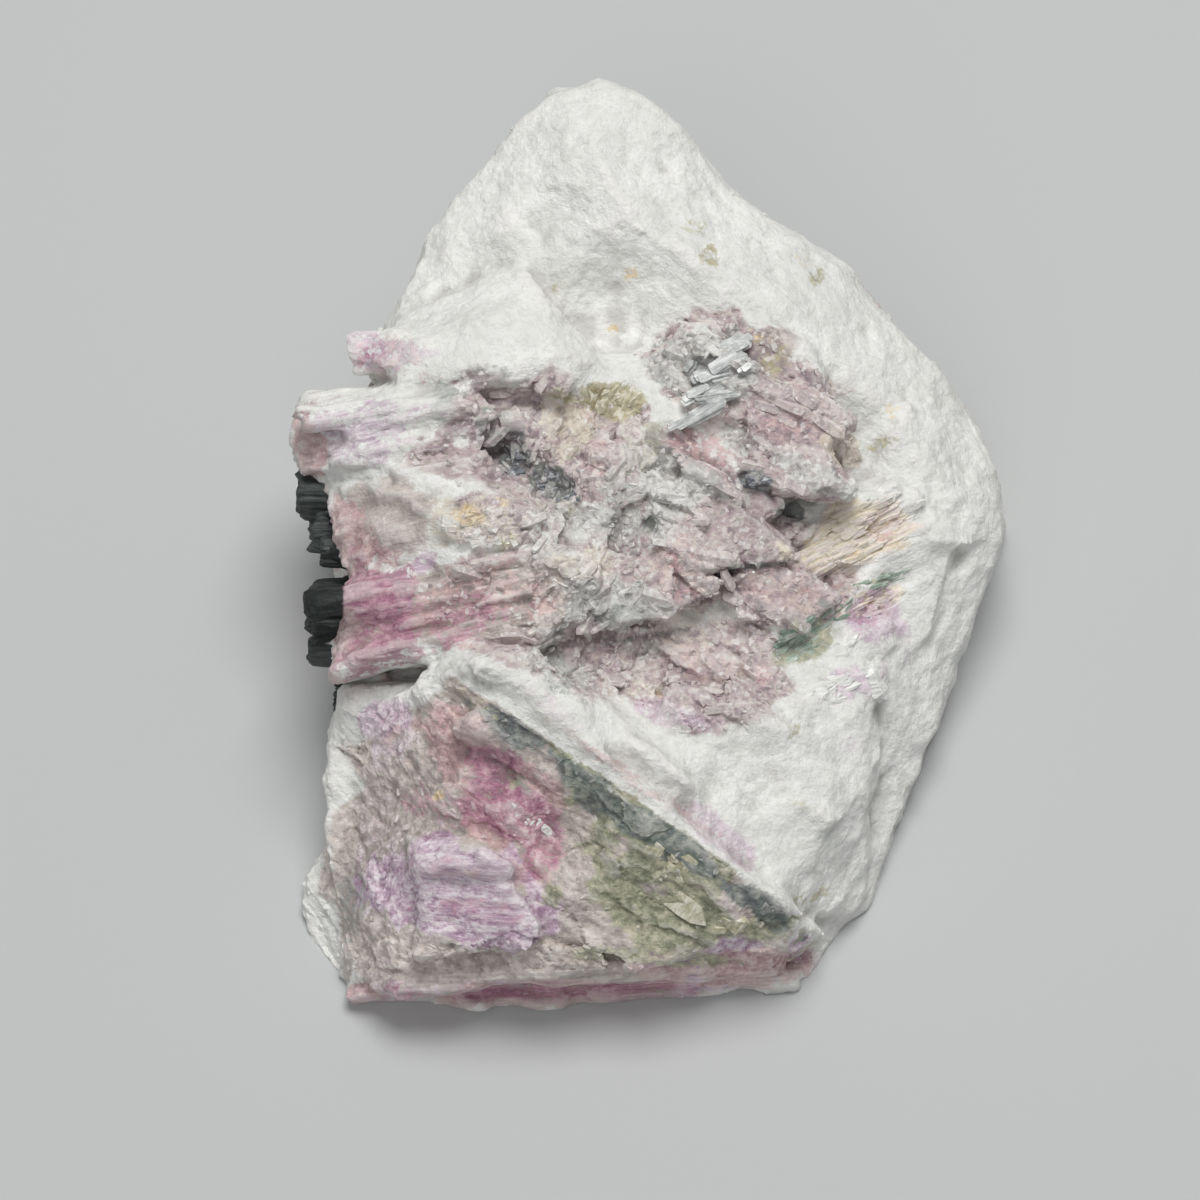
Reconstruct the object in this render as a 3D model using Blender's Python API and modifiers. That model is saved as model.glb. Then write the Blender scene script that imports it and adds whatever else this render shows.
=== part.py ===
"""A hand-sized specimen of watermelon tourmaline, broken from its pegmatite.

One natural piece: white albite rock with a bundle of pink and green tourmaline prisms grown through it,
a lilac grey mass of mica in the middle, stubs of black tourmaline at the left flank, and a flat break
underneath, on which the specimen rests.

Lengths below are in millimetres. Corners on the show face are given in the face frame: x to the right,
y up the face and z out of it, as they show to an eye in front of the face. The face leans back from
upright, and the flat break underneath lies on the table.
"""

import math
import random

import bmesh
import bpy
from mathutils import Matrix, Vector, noise

MM = 0.001
NAME = "tourmaline_specimen"
CUTTERS = "cutters"

# The show face as it lies: how far it leans up from level, and how high its middle is
FACE_LEAN = math.radians(30.0)
FACE_HEIGHT = 25.0

# The eye in front of the face, for which the corners' x and y hold
EYE_DISTANCE = 480.0
EYE_X = -2.2
EYE_Y = -4.3

# How far a block reaches back into the rock
ROOT = 14.0

# The block that levels the underside
TABLE = 200.0

# How high over the table the rock is widest
BELLY_HEIGHT = 9.0

# The middle of the specimen's outline on the table, which is put at the origin
MIDDLE_X = 4.1
MIDDLE_Y = 7.7

# The stone as a whole: mostly white albite
STONE_COLOUR = (0.66, 0.6, 0.58, 1.0)
STONE_ROUGHNESS = 0.7

# The broken skin
VOXEL = 0.62
WEAR_STEPS = 2
LUMP_SIZE = 12.0
LUMP_HEIGHT = 0.9
CHIP_SIZE = 4.2
CHIP_HEIGHT = 0.5
TRIANGLES = 11400

# Patches of the face where the albite broke smoothly: x, y, radius
CALM = {
    "peak": (-3.0, 39.0, 17.0),
    "right_shoulder": (14.0, 29.0, 13.0),
    "lobe": (-15.0, 22.5, 9.0),
    "lens": (-19.0, 5.0, 9.0),
    "top_of_the_triangle": (-14.0, -11.5, 8.0),
}
CALM_SHARE = 0.3

# Hollows pressed into the face: x, y, radius and depth
DENTS = {
    "under_the_peak": (0.0, 28.5, 8.0, 2.0),
    "scoop_on_the_peak": (-7.5, 36.0, 5.5, 1.6),
    "valley_on_the_peak": (-14.0, 31.5, 5.0, 1.2),
    "dark_pocket": (-13.0, 11.0, 4.0, 2.4),
    "blue_pocket": (-7.0, 7.0, 3.5, 1.4),
    "mica_pocket": (-0.5, 16.0, 4.0, 1.4),
    "beside_the_fin": (22.0, 5.0, 3.2, 2.0),
    "pit_in_the_ledge": (3.4, 3.6, 1.5, 1.6),
    "hollow_floor": (4.0, -12.5, 7.0, 0.8),
    "top_of_the_break": (-13.0, -21.5, 6.0, 1.6),
    "middle_of_the_break": (-5.5, -29.5, 7.5, 2.6),
    "foot_of_the_break": (3.5, -37.0, 6.5, 1.8),
    "left_of_the_break": (-24.5, -27.0, 6.0, 1.4),
}


def clear_scene():
    for item in list(bpy.data.objects):
        bpy.data.objects.remove(item)
    for group in list(bpy.data.collections):
        bpy.data.collections.remove(group)
    for name in (NAME, CUTTERS):
        bpy.context.scene.collection.children.link(bpy.data.collections.new(name))


def on_face(x, y, z):
    """The place, in the standing frame, of a point that an eye in front of the face sees at x, y."""
    spread = 1.0 - z / EYE_DISTANCE
    right = EYE_X + (x - EYE_X) * spread
    up = EYE_Y + (y - EYE_Y) * spread
    back = up * math.cos(FACE_LEAN) - z * math.sin(FACE_LEAN)
    height = up * math.sin(FACE_LEAN) + z * math.cos(FACE_LEAN)
    return Vector((right, back, height + FACE_HEIGHT))


def seen_from_face(place):
    """The x and y at which an eye in front of the face sees a place of the standing frame."""
    height = place.z - FACE_HEIGHT
    up = place.y * math.cos(FACE_LEAN) + height * math.sin(FACE_LEAN)
    out = height * math.cos(FACE_LEAN) - place.y * math.sin(FACE_LEAN)
    spread = 1.0 - out / EYE_DISTANCE
    return Vector((EYE_X + (place.x - EYE_X) / spread, EYE_Y + (up - EYE_Y) / spread))


def add_hull(rock, points):
    """Adds the convex block around these points."""
    corners = [rock.verts.new(point) for point in points]
    made = bmesh.ops.convex_hull(rock, input=corners)
    inside = [item for item in made["geom_interior"] if isinstance(item, bmesh.types.BMVert)]
    bmesh.ops.delete(rock, geom=inside, context="VERTS")


def add_block(rock, corners, root=ROOT):
    """Adds a broken block: its corners as they show on the face, carried back into the rock."""
    front = [on_face(*corner) for corner in corners]
    back = [on_face(x, y, z - root) for x, y, z in corners]
    add_hull(rock, front + back)


def add_prism(rock, start, end, radius, sides, flatten=1.0, twist=0.0):
    """Adds a crystal prism with flat sides along its axis, from start to end on the face."""
    add_shaft(rock, on_face(*start), on_face(*end), radius, sides, flatten, twist)


def add_shaft(rock, foot, tip, radius, sides, flatten=1.0, twist=0.0):
    """Adds a prism with flat sides from foot to tip, two places of the standing frame."""
    axis = tip - foot
    turn = axis.to_track_quat("Z", "Y").to_matrix().to_4x4()
    shape = Matrix.Rotation(twist, 4, "Z") @ Matrix.Diagonal((1.0, flatten, 1.0, 1.0))
    bmesh.ops.create_cone(
        rock,
        cap_ends=True,
        segments=sides,
        radius1=radius,
        radius2=radius,
        depth=axis.length,
        matrix=Matrix.Translation((foot + tip) / 2) @ turn @ shape,
    )


def add_splinters(rock, seed, count, start, end, width, rise, length, size):
    """Adds a bundle of splinters along a stripe of the face from start to end, width across.

    Each splinter lies along the stripe, length long and size thick, and rises by at most rise.
    """
    draw = random.Random(seed)
    foot, tip = Vector(start), Vector(end)
    along = (tip - foot).normalized()
    across = Vector((-along.y, along.x, 0)).normalized()
    for _ in range(count):
        middle = foot.lerp(tip, draw.random()) + across * draw.uniform(-width, width) / 2
        middle.z += draw.uniform(-0.4, 1.0) * rise
        half = along * length * draw.uniform(0.35, 0.65)
        side = across * size * draw.uniform(0.35, 0.7)
        skew = along * size * draw.uniform(-1.0, 1.0)
        crest = Vector((0, 0, size * draw.uniform(0.3, 0.6)))
        corners = [
            middle - half + side + skew,
            middle - half - side,
            middle + half * 0.9 + side,
            middle + half - side - skew,
            middle - half * 0.8 + crest,
            middle + half * 0.7 + crest + side * 0.3,
        ]
        add_block(rock, [tuple(corner) for corner in corners], root=size * 1.6)


def add_core(rock):
    """The rock behind the show face, down to the underside."""
    front = [
        (-24, 22, -12), (-19, 36, -17), (-5, 49, -18), (5, 46, -18), (22, 29, -20),
        (-17, 36, -25), (-5, 46, -27), (5, 43, -27), (20, 29, -27), (32, 17, -24),
        (36, 12, -18), (38, 2, -18), (27, -14, -9), (25, -33, -9), (18, -42, -5),
        (-24, -44, -3), (-29, -36, -6), (-26, -14, -8), (-28, 6, -9),
    ]
    belly = [
        (-32, -27), (-28, -10), (-29, 2), (-30, 18), (-26, 33), (-14, 46), (1, 52),
        (14, 47), (27, 37), (36, 22), (36, 11), (31, -3), (29, -14), (26, -25),
    ]
    underside = [
        (-28, -39), (-29, -26), (-25, -8), (-26, 2), (-25, 16), (-21, 28), (-11, 38), (2, 42),
        (12, 39), (23, 29), (31, 18), (31, 9), (27, -3), (25, -14), (22, -25), (19, -35),
    ]
    filling = [
        (-25, 18, -6), (-17, 26, -9), (5, 27, -10), (19, 25, -11), (29, 12, -10.5), (30, 2, -9.5),
        (27, -10, -6), (12, -19, 0), (-6, -14, 4), (-20, -13, 2), (-26, 0, -2), (0, 8, 0.5),
    ]
    below = [Vector((x, y, BELLY_HEIGHT)) for x, y in belly]
    below += [Vector((x, y, -2.0)) for x, y in underside]
    add_hull(rock, [on_face(*corner) for corner in front] + below)
    add_block(rock, filling, root=20)


def add_peak(rock):
    """The tall white shoulder of albite across the top, from the left flank to the right corner."""
    add_block(rock, [
        (-23.8, 27, -12), (-21, 35, -15), (-13.3, 44.2, -15), (-6.8, 50.6, -15), (-2.2, 51.6, -14),
        (2.4, 49.9, -14), (6.2, 46.7, -14), (8, 43.2, -15), (12, 39.8, -16), (-3, 45, -7.5),
        (-9, 39, -8.5), (-16, 33, -10), (1, 37, -5), (-4, 28, -8), (9, 31, -6), (4, 24, -7),
    ], root=9)
    add_block(rock, [
        (6, 44, -14.5), (19.6, 33.7, -16), (23.7, 31.4, -16), (27.2, 28.2, -17), (33.2, 21.7, -17),
        (3, 36, -5.5), (9, 31, -5.5), (19, 25.5, -7.5), (27, 17, -9), (31, 13, -10), (12, 21, -8),
        (22, 12, -9), (3, 26, -7),
    ], root=9)
    add_block(rock, [
        (33.2, 21.7, -17), (38.4, 14.2, -17), (39.5, 7, -15), (41.4, 3.4, -14), (30, 15, -8.5),
        (35, 8, -8.5), (37, 2.5, -9), (27, 9, -8.5), (28, 0, -8), (34, -2, -10), (39, -2, -14),
    ], root=18)


def add_lobe(rock):
    """The second white lobe, which laps over the foot of the peak."""
    add_block(rock, [
        (-24.2, 26.5, -8), (-18.3, 28, -6), (-12.9, 31.6, -7), (-10.8, 32.0, -7), (-8.4, 29, -4),
        (-4.8, 24, -3), (-1, 20.5, -2), (-2.5, 17.5, -1), (-6.5, 18, 1.5), (-15, 20.3, 2.5),
        (-23, 19, -0.5), (-27, 21.5, -3), (-14, 26, 0.5), (-7, 22.5, 2.2),
    ])
    add_block(rock, [
        (-2, 22, -5), (4, 22.5, -5.5), (7, 19, -5), (3, 16.5, -2), (-3, 16.5, -0.5), (-2, 19, -1),
    ], root=6)


def add_columns(rock):
    """The bundle of tourmaline prisms, broken across at the left flank."""
    add_prism(rock, (-29.2, 22.2, -6.5), (-10, 24, -5), 2.9, 7)
    add_block(rock, [
        (-33.8, 17.4, -7), (-35.4, 14, -5.5), (-34.3, 9.4, -4.5), (-29, 16.2, -0.5), (-18, 20, 0.5),
        (-15, 18, 1), (-14, 13, 1.5), (-21, 11, 3.5), (-29, 9.5, 0.5),
    ], root=10)
    add_block(rock, [
        (-31.8, 9.2, -4), (-31.0, 4, -2), (-29.8, -0.6, -0.5), (-25, 11, 2), (-15, 11.3, 3.5),
        (-9.5, 7.5, 4.5), (-6, 2, 4.5), (-27, -1.3, 2.5), (-18, -0.6, 5.5), (-9, -0.5, 5),
        (-22, 6, 5), (-13, 4, 6.8),
    ])
    add_block(rock, [
        (-19.5, 6.5, 5.5), (-14, 6.8, 6.5), (-9, 5, 6.8), (-8, 1.5, 6.5), (-13, 0.5, 7), (-18, 2, 6.6),
    ], root=5)
    add_block(rock, [
        (-29.2, -1.4, 0.5), (-13, -0.4, 4), (3, 1.5, 3), (-27, -3, 4.5), (-12, -2.2, 7), (3, -2, 5),
        (-30.8, -12.6, 3.5), (-22, -11.2, 5), (-14, -8.8, 5.5), (-2, -7.6, 4.8), (4.8, -6.1, 4.2),
        (-24, -8, 6.5), (-12, -6.5, 7),
    ], root=10)
    add_block(rock, [
        (-30, -14, -1), (-22.5, -12.7, 1), (-29.3, -19.5, -2), (-22, -18.5, 2), (-28.5, -22, -4),
    ])
    add_splinters(rock, 3, 16, (-28, -6, 5), (-6, -4, 6.5), 8, 0.7, 11, 1.8)
    add_splinters(rock, 4, 10, (-31, 13, 0.5), (-18, 15, 2), 6, 0.5, 9, 1.8)


def add_black_stubs(rock):
    """Ribbed black tourmaline that stands out behind the ends of the pink prisms."""
    add_prism(rock, (-34.4, 7.0, -7.5), (-22, 7.6, -8.0), 2.6, 8)
    add_prism(rock, (-33.2, 3.2, -7.0), (-22, 3.6, -8.0), 2.4, 8)
    add_prism(rock, (-32.2, 1.0, -4.5), (-22, 1.2, -5.0), 1.6, 7)
    add_prism(rock, (-33.2, -5.0, -5.0), (-22, -4.6, -5.5), 2.9, 9)
    add_prism(rock, (-32.9, -8.6, -4.0), (-22, -8.2, -4.5), 2.8, 9)
    add_prism(rock, (-30.2, -14.8, -5.0), (-22, -14.4, -6.0), 1.6, 7)


def add_middle(rock):
    """The lilac grey mass in the middle, a stepped ledge that stands over the hollow below it."""
    add_block(rock, [
        (-18, 18.5, -2), (-6, 19, -2), (2, 17.5, -4), (12, 16, -3), (15, 10, 0), (17, 5.5, 1),
        (8, 1, 3), (-6, 4, 3), (-12, 9, 0), (0, 9, 3.4),
    ])
    add_block(rock, [
        (-8, 6, 3), (0, 8.6, 4.4), (8, 7.5, 4.4), (14, 5, 4), (18.6, 0.6, 3), (13.5, -0.9, 3.4),
        (8.5, -1.6, 4.6), (4.8, -6.5, 5), (-2, -7.8, 5.2), (-9, -7, 5),
    ], root=9)
    add_block(rock, [
        (1, 20, -4), (6, 24.5, -4), (14, 26.5, -5.5), (20, 23, -5), (22, 19, -4.5), (17, 15, -1.5),
        (6, 14.5, 0),
    ])
    add_block(rock, [
        (13.5, 17.8, -1), (19.5, 18.6, -2), (25, 14.9, -2.4), (21.5, 11.5, -1), (14, 11, 1),
    ], root=8)
    add_block(rock, [
        (14.5, 12.6, 2), (21.5, 12.2, 1.2), (25.3, 6.8, 0.6), (19, 7.4, 2.2), (13.5, 8.4, 3),
    ], root=6)
    add_splinters(rock, 8, 8, (8, 19, -1.5), (20, 15, -1), 8, 0.8, 6, 2.0)
    add_splinters(rock, 9, 14, (-10, 12, 2), (10, 4, 4.5), 12, 0.8, 5, 2.4)


def add_hollow(rock):
    """The lower lilac floor under the ledge, and the fibrous band to its right."""
    add_block(rock, [
        (-14, -8.5, 0), (0, -7, 0), (8, -1, -2), (20, 1, -4), (26, -6, -3), (26, -11, -1),
        (18, -15, 2), (8, -18.5, 3), (-2, -16, 3), (-10, -12.5, 3),
    ])
    add_block(rock, [
        (11, -2, 0), (14, -0.9, 1.4), (20, -1.2, 1.6), (24.6, -4.5, 0.6), (19, -7.8, 2.4),
        (12.5, -6.6, 2.8),
    ], root=6)
    add_block(rock, [
        (18, 6, -5), (26, 8.5, -7), (36, 4, -8), (34, -8, -7), (26, -12, -4), (18, -3, -4),
        (20, 2, -3.5),
    ])
    add_splinters(rock, 5, 14, (19, 1, -3.5), (34, 5, -7.5), 8, 0.6, 9, 1.8)
    add_splinters(rock, 6, 12, (18, -11, 0), (30, -5, -4.5), 8, 0.7, 7, 1.8)


def add_lower_block(rock):
    """The white cleavage block at the lower right, with the right wall falling away from it."""
    add_block(rock, [
        (-8, -12.6, 5), (6, -17.5, 5), (20, -15.5, 3.5), (26.4, -12.8, -1), (27.6, -20, -2),
        (26, -24.5, 1), (26.6, -36, -4), (24.5, -39, -3), (16.5, -36, 8), (3, -23, 11), (20, -27, 5.5),
    ], root=16)
    add_block(rock, [
        (26.5, -12.5, -3), (30, -8, -6), (36.5, -1, -10), (41, 2.7, -14), (38.7, -3.5, -18),
        (35.7, -8, -19), (32.8, -15, -18), (30.8, -22, -14), (28.3, -33, -9), (26.8, -37, -6),
        (27.5, -20, -5), (22.5, -40.5, -4),
    ], root=10)
    add_block(rock, [
        (25, -12, 0), (28.5, -11.5, -2), (27, -16.5, -1.5), (24.5, -18, 1.5), (21.5, -13.5, 2),
    ], root=7)
    add_splinters(rock, 7, 12, (6, -19, 6.5), (22, -32, 4), 14, 0.9, 7, 3.2)


def add_watermelon_block(rock):
    """The triangular block at the lower left, whose face is a break through one large crystal."""
    add_block(rock, [
        (-16.5, -9.6, 7), (-23, -14.5, 4), (-27.6, -22, 0), (-29.5, -31, -2), (-30, -42, -1),
        (-29, -46.6, 1), (-24, -46.9, 6), (-9, -45.2, 9), (5, -43.6, 9), (17, -42.2, 5.5),
        (22, -40.3, 1), (18, -36.8, 10), (10, -31, 13.2), (-1, -21.5, 14.4), (-11, -12.7, 12.6),
        (-17, -22, 9.5), (-23, -33, 7.5),
    ], root=16)
    add_block(rock, [
        (-18, -9.3, 7), (-11, -9.2, 8.5), (-3, -15, 9), (2, -18, 9.5), (-2, -20.4, 13.6),
        (-10, -12.8, 13), (-15, -11.5, 11), (-22.4, -14.4, 6),
    ], root=7)
    add_block(rock, [
        (-23.4, -29.2, 9), (-22, -33, 11), (-22, -43, 10), (-9, -41.8, 12), (-8.5, -39, 12.4),
        (-12, -34.5, 13), (-16, -30.0, 12),
    ], root=6)
    add_block(rock, [
        (-9, -41.5, 9.5), (6, -42.5, 9.5), (19, -40.2, 5), (17, -44, 2), (0, -45.6, 5), (-8.5, -45.4, 7),
    ], root=8)
    add_block(rock, [
        (-31, -30, -4), (-33.8, -34, -5), (-34.4, -37, -5), (-33.6, -41.5, -5), (-30, -45.5, -3),
        (-28, -34, -1), (-27.5, -42, 0),
    ])
    add_block(rock, [
        (-29, -19, -5), (-30.2, -23, -6), (-30.6, -29, -6), (-27.5, -31, -2), (-27.4, -20, -2),
    ], root=8)
    add_splinters(rock, 1, 22, (-12, -17, 11.5), (14, -36, 10), 12, 0.8, 10, 2.2)
    add_block(rock, [
        (-21.5, -31.5, 11), (-21.5, -34, 12.2), (-11, -33.5, 14.2), (-15, -30.2, 13.8),
    ], root=3)


def add_foot(rock):
    """The thin fibrous slab that shows under the front edge."""
    add_block(rock, [
        (-29, -46.5, -0.5), (-29.4, -48.5, -2), (-20, -49.0, -1), (-9, -48.8, -1), (5, -47.5, -1),
        (17, -46.0, -2), (20.2, -45.2, -3), (22, -42.5, -4), (21, -40.5, -3), (-8, -44, 1),
    ], root=8)
    add_block(rock, [
        (17, -37, 4), (26.2, -36.5, -5), (24.2, -39.2, -5), (21.7, -41, -4), (21.7, -42.5, -4),
        (19.5, -45, -5), (13, -44, 1),
    ], root=16)
    add_splinters(rock, 11, 10, (-24, -47, 1), (18, -43.5, -1), 3, 0.4, 14, 1.6)


def add_back(rock):
    """The hidden side: a stepped break in the albite, with one thick prism laid bare in it."""
    add_hull(rock, [Vector(corner) for corner in (
        (-20, 40, 3), (-22, 36, 15), (-12, 50, 12), (0, 55, 14), (9, 51, 11), (8, 47, 3), (-10, 46, 2),
        (-14, 43, 21), (1, 52, 24),
    )])
    add_hull(rock, [Vector(corner) for corner in (
        (14, 42, 3), (15, 46, 12), (25, 40, 13), (34, 28, 12), (32, 25, 3), (20, 39, 18), (31, 29, 17),
    )])
    add_hull(rock, [Vector(corner) for corner in (
        (-26, 30, 2), (-33, 22, 6), (-32, 10, 5), (-29, 4, 2), (-31, 14, 13), (-29, 26, 14), (-27, 6, 12),
    )])
    add_hull(rock, [Vector(corner) for corner in (
        (-30, -6, 2), (-31, -14, 5), (-30, -22, 3), (-27, -18, 12), (-27, -6, 12), (-25, -2, 3),
    )])
    add_shaft(rock, Vector((-19, 42, 9)), Vector((1, 56, 13)), 4.4, 9, flatten=0.8)
    add_shaft(rock, Vector((12, 46, 6)), Vector((31, 33, 8)), 3.6, 8)
    add_hull(rock, [Vector(corner) for corner in (
        (30, 24, 4), (38, 18, 10), (37, 8, 9), (33, 2, 4), (37, 14, 19), (34, 6, 17), (33, 24, 17),
    )])


def add_clefts(cut):
    """The dark clefts under the ledges."""
    add_block(cut, [
        (-31, -13.7, 8), (-31, -12.9, 8), (-24, -12.2, 8), (-16, -10.3, 8), (-23, -12.3, 8),
    ], root=8)
    add_block(cut, [(-3.4, -7.7, 8), (-1, -6.9, 8), (4.6, -6.2, 8), (4.2, -7.0, 8)], root=9)
    add_block(cut, [(8.4, -1.6, 8), (9.4, -2.2, 8), (18, -0.4, 8), (13, -0.9, 8)], root=10)


def object_of(rock, name, group):
    """A new object in this collection that holds the blocks of the bmesh, at their real size."""
    bmesh.ops.recalc_face_normals(rock, faces=rock.faces)
    mesh = bpy.data.meshes.new(name)
    rock.to_mesh(mesh)
    rock.free()
    mesh.transform(Matrix.Scale(MM, 4))
    item = bpy.data.objects.new(name, mesh)
    bpy.data.collections[group].objects.link(item)
    return item


def with_modifiers_applied(item):
    """An object of the same name that holds the item's mesh with its modifiers applied."""
    graph = bpy.context.evaluated_depsgraph_get()
    mesh = bpy.data.meshes.new_from_object(item.evaluated_get(graph))
    name = item.name
    bpy.data.objects.remove(item)
    made = bpy.data.objects.new(name, mesh)
    bpy.data.collections[NAME].objects.link(made)
    return made


def grow_together(blocks):
    """One closed skin around all the blocks, with slightly worn edges."""
    skin = blocks.modifiers.new("skin", "REMESH")
    skin.mode = "VOXEL"
    skin.voxel_size = VOXEL * MM
    wear = blocks.modifiers.new("wear", "SMOOTH")
    wear.factor = 0.5
    wear.iterations = WEAR_STEPS
    return with_modifiers_applied(blocks)


def dent_at(place):
    """How far the named dents push the skin in at this place."""
    seen = seen_from_face(place)
    depth = 0.0
    for x, y, radius, deepest in DENTS.values():
        share = (seen - Vector((x, y))).length / radius
        if share < 1.0:
            depth += deepest * (1.0 - share * share) ** 2
    return depth


def roughness_at(place):
    """The share of the chips that this place keeps: less of them on the calm patches."""
    seen = seen_from_face(place)
    share = 1.0
    for x, y, radius in CALM.values():
        away = (seen - Vector((x, y))).length / radius
        share = min(share, max(CALM_SHARE, away * away))
    return share


def roughen(specimen):
    """Moves the skin in and out: broad lumps, flat-sided chips, and the dents of the show face."""
    rock = bmesh.new()
    rock.from_mesh(specimen.data)
    bmesh.ops.triangulate(rock, faces=rock.faces)
    rock.normal_update()
    outward = Vector((0, -math.sin(FACE_LEAN), math.cos(FACE_LEAN)))
    moves = []
    for vert in rock.verts:
        place = vert.co / MM
        lump = noise.fractal(place / LUMP_SIZE, 0.8, 2.1, 3) * LUMP_HEIGHT
        distances, _ = noise.voronoi(place / CHIP_SIZE)
        chip = (distances[1] - distances[0] - 0.35) * CHIP_HEIGHT * roughness_at(place)
        move = vert.normal * (lump + chip)
        if vert.normal.dot(outward) > 0.2:
            move -= outward * dent_at(place)
        moves.append(move * MM)
    for vert, move in zip(rock.verts, moves):
        vert.co += move
    rock.to_mesh(specimen.data)
    rock.free()


def cut_away(specimen, cutter):
    """Subtracts the cutter, and keeps it out of the picture."""
    cutter.hide_render = True
    cutter.display_type = "WIRE"
    cut = specimen.modifiers.new(cutter.name, "BOOLEAN")
    cut.operation = "DIFFERENCE"
    cut.object = cutter


def thin_out(specimen):
    """Fewer, larger faces where the rock is plain."""
    thin = specimen.modifiers.new("plain_faces", "DECIMATE")
    thin.ratio = TRIANGLES / len(specimen.data.polygons)


def give_stone(specimen):
    """The specimen's one material."""
    stone = bpy.data.materials.new("stone")
    stone.use_nodes = True
    surface = stone.node_tree.nodes["Principled BSDF"]
    surface.inputs["Base Color"].default_value = STONE_COLOUR
    surface.inputs["Roughness"].default_value = STONE_ROUGHNESS
    surface.inputs["Metallic"].default_value = 0.0
    specimen.data.materials.append(stone)


def build():
    clear_scene()
    rock = bmesh.new()
    for add in (
        add_core, add_peak, add_lobe, add_columns, add_black_stubs, add_middle, add_hollow,
        add_lower_block, add_watermelon_block, add_foot, add_back,
    ):
        add(rock)
    specimen = grow_together(object_of(rock, NAME, NAME))
    clefts = bmesh.new()
    add_clefts(clefts)
    cut_away(specimen, object_of(clefts, "clefts", CUTTERS))
    specimen = with_modifiers_applied(specimen)
    bpy.data.objects.remove(bpy.data.objects["clefts"])
    roughen(specimen)
    specimen.data.transform(Matrix.Translation(Vector((-MIDDLE_X, -MIDDLE_Y, 0.0)) * MM))
    thin_out(specimen)
    table = bmesh.new()
    bmesh.ops.create_cube(table, size=TABLE, matrix=Matrix.Translation((0, 0, -TABLE / 2)))
    cut_away(specimen, object_of(table, "underside", CUTTERS))
    give_stone(specimen)


build()
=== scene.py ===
import itertools
import math
import random

import bmesh
import bpy
import numpy as np
from mathutils import Matrix, Vector
from mathutils.bvhtree import BVHTree


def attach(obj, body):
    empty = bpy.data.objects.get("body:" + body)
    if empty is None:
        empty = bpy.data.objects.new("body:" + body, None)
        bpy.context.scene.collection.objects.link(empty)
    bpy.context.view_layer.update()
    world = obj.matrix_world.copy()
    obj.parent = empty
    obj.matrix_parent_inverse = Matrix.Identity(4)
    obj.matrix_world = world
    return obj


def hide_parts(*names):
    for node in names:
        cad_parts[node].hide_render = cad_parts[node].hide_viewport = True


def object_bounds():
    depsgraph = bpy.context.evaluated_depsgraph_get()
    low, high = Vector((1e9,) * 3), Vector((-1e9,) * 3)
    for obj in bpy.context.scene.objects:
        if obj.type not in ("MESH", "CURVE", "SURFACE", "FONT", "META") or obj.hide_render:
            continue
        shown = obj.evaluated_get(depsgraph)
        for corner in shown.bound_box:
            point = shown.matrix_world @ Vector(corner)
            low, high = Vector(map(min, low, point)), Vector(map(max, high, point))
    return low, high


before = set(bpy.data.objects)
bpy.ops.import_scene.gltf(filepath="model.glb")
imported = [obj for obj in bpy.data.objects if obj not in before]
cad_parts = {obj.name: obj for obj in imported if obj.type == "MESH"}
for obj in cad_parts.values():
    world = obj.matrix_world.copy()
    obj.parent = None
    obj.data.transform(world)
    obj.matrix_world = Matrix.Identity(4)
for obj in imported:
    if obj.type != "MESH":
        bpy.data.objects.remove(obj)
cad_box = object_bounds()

NODE = "tourmaline_specimen"
MM = 0.001

# The show face as it lies, and the eye in front of it. Lengths are in millimetres.
FACE_LEAN = math.radians(30.0)
FACE_HEIGHT = 25.0
EYE_DISTANCE = 480.0
EYE_X = -2.2
EYE_Y = -4.3
MIDDLE_X = 4.1
MIDDLE_Y = 7.7

# The photograph's frame: 129 mm of the show face across the picture
VIEW_WIDTH = 129.03
SENSOR = 36.0

VOXEL = 0.36
SKIN_TRIANGLES = 194000
SHARDS = 190
GRAINS = 2600

# Sizes and seeds of the broken grains, which the relief and the colours share
BIG_GRAINS = (3.4, 14)
SMALL_GRAINS = (1.2, 90)

# The ridge between the white block and the broken triangle, on the face
RIDGE_START = (-20.0, -10.6)
RIDGE_END = (16.6, -36.0)
# Below this y, each patch of a mineral keeps to its own side of the ridge
RIDGE_TOP = -13.0


# Places

def on_face(x, y, z):
    """The place, in metres, of a point that the eye sees at x, y on the face, z in front of it."""
    spread = 1.0 - z / EYE_DISTANCE
    right = EYE_X + (x - EYE_X) * spread
    up = EYE_Y + (y - EYE_Y) * spread
    back = up * math.cos(FACE_LEAN) - z * math.sin(FACE_LEAN)
    height = up * math.sin(FACE_LEAN) + z * math.cos(FACE_LEAN)
    return Vector((right - MIDDLE_X, back - MIDDLE_Y, height + FACE_HEIGHT)) * MM


def from_face(place):
    """The x and y at which the eye sees these places, an array in millimetres, and how far out they are."""
    right = place[:, 0] + MIDDLE_X
    back = place[:, 1] + MIDDLE_Y
    height = place[:, 2] - FACE_HEIGHT
    up = back * math.cos(FACE_LEAN) + height * math.sin(FACE_LEAN)
    out = height * math.cos(FACE_LEAN) - back * math.sin(FACE_LEAN)
    spread = 1.0 - out / EYE_DISTANCE
    return EYE_X + (right - EYE_X) / spread, EYE_Y + (up - EYE_Y) / spread, out


OUTWARD = Vector((0.0, -math.sin(FACE_LEAN), math.cos(FACE_LEAN)))
UPWARD = Vector((0.0, math.cos(FACE_LEAN), math.sin(FACE_LEAN)))


# Noise

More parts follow.
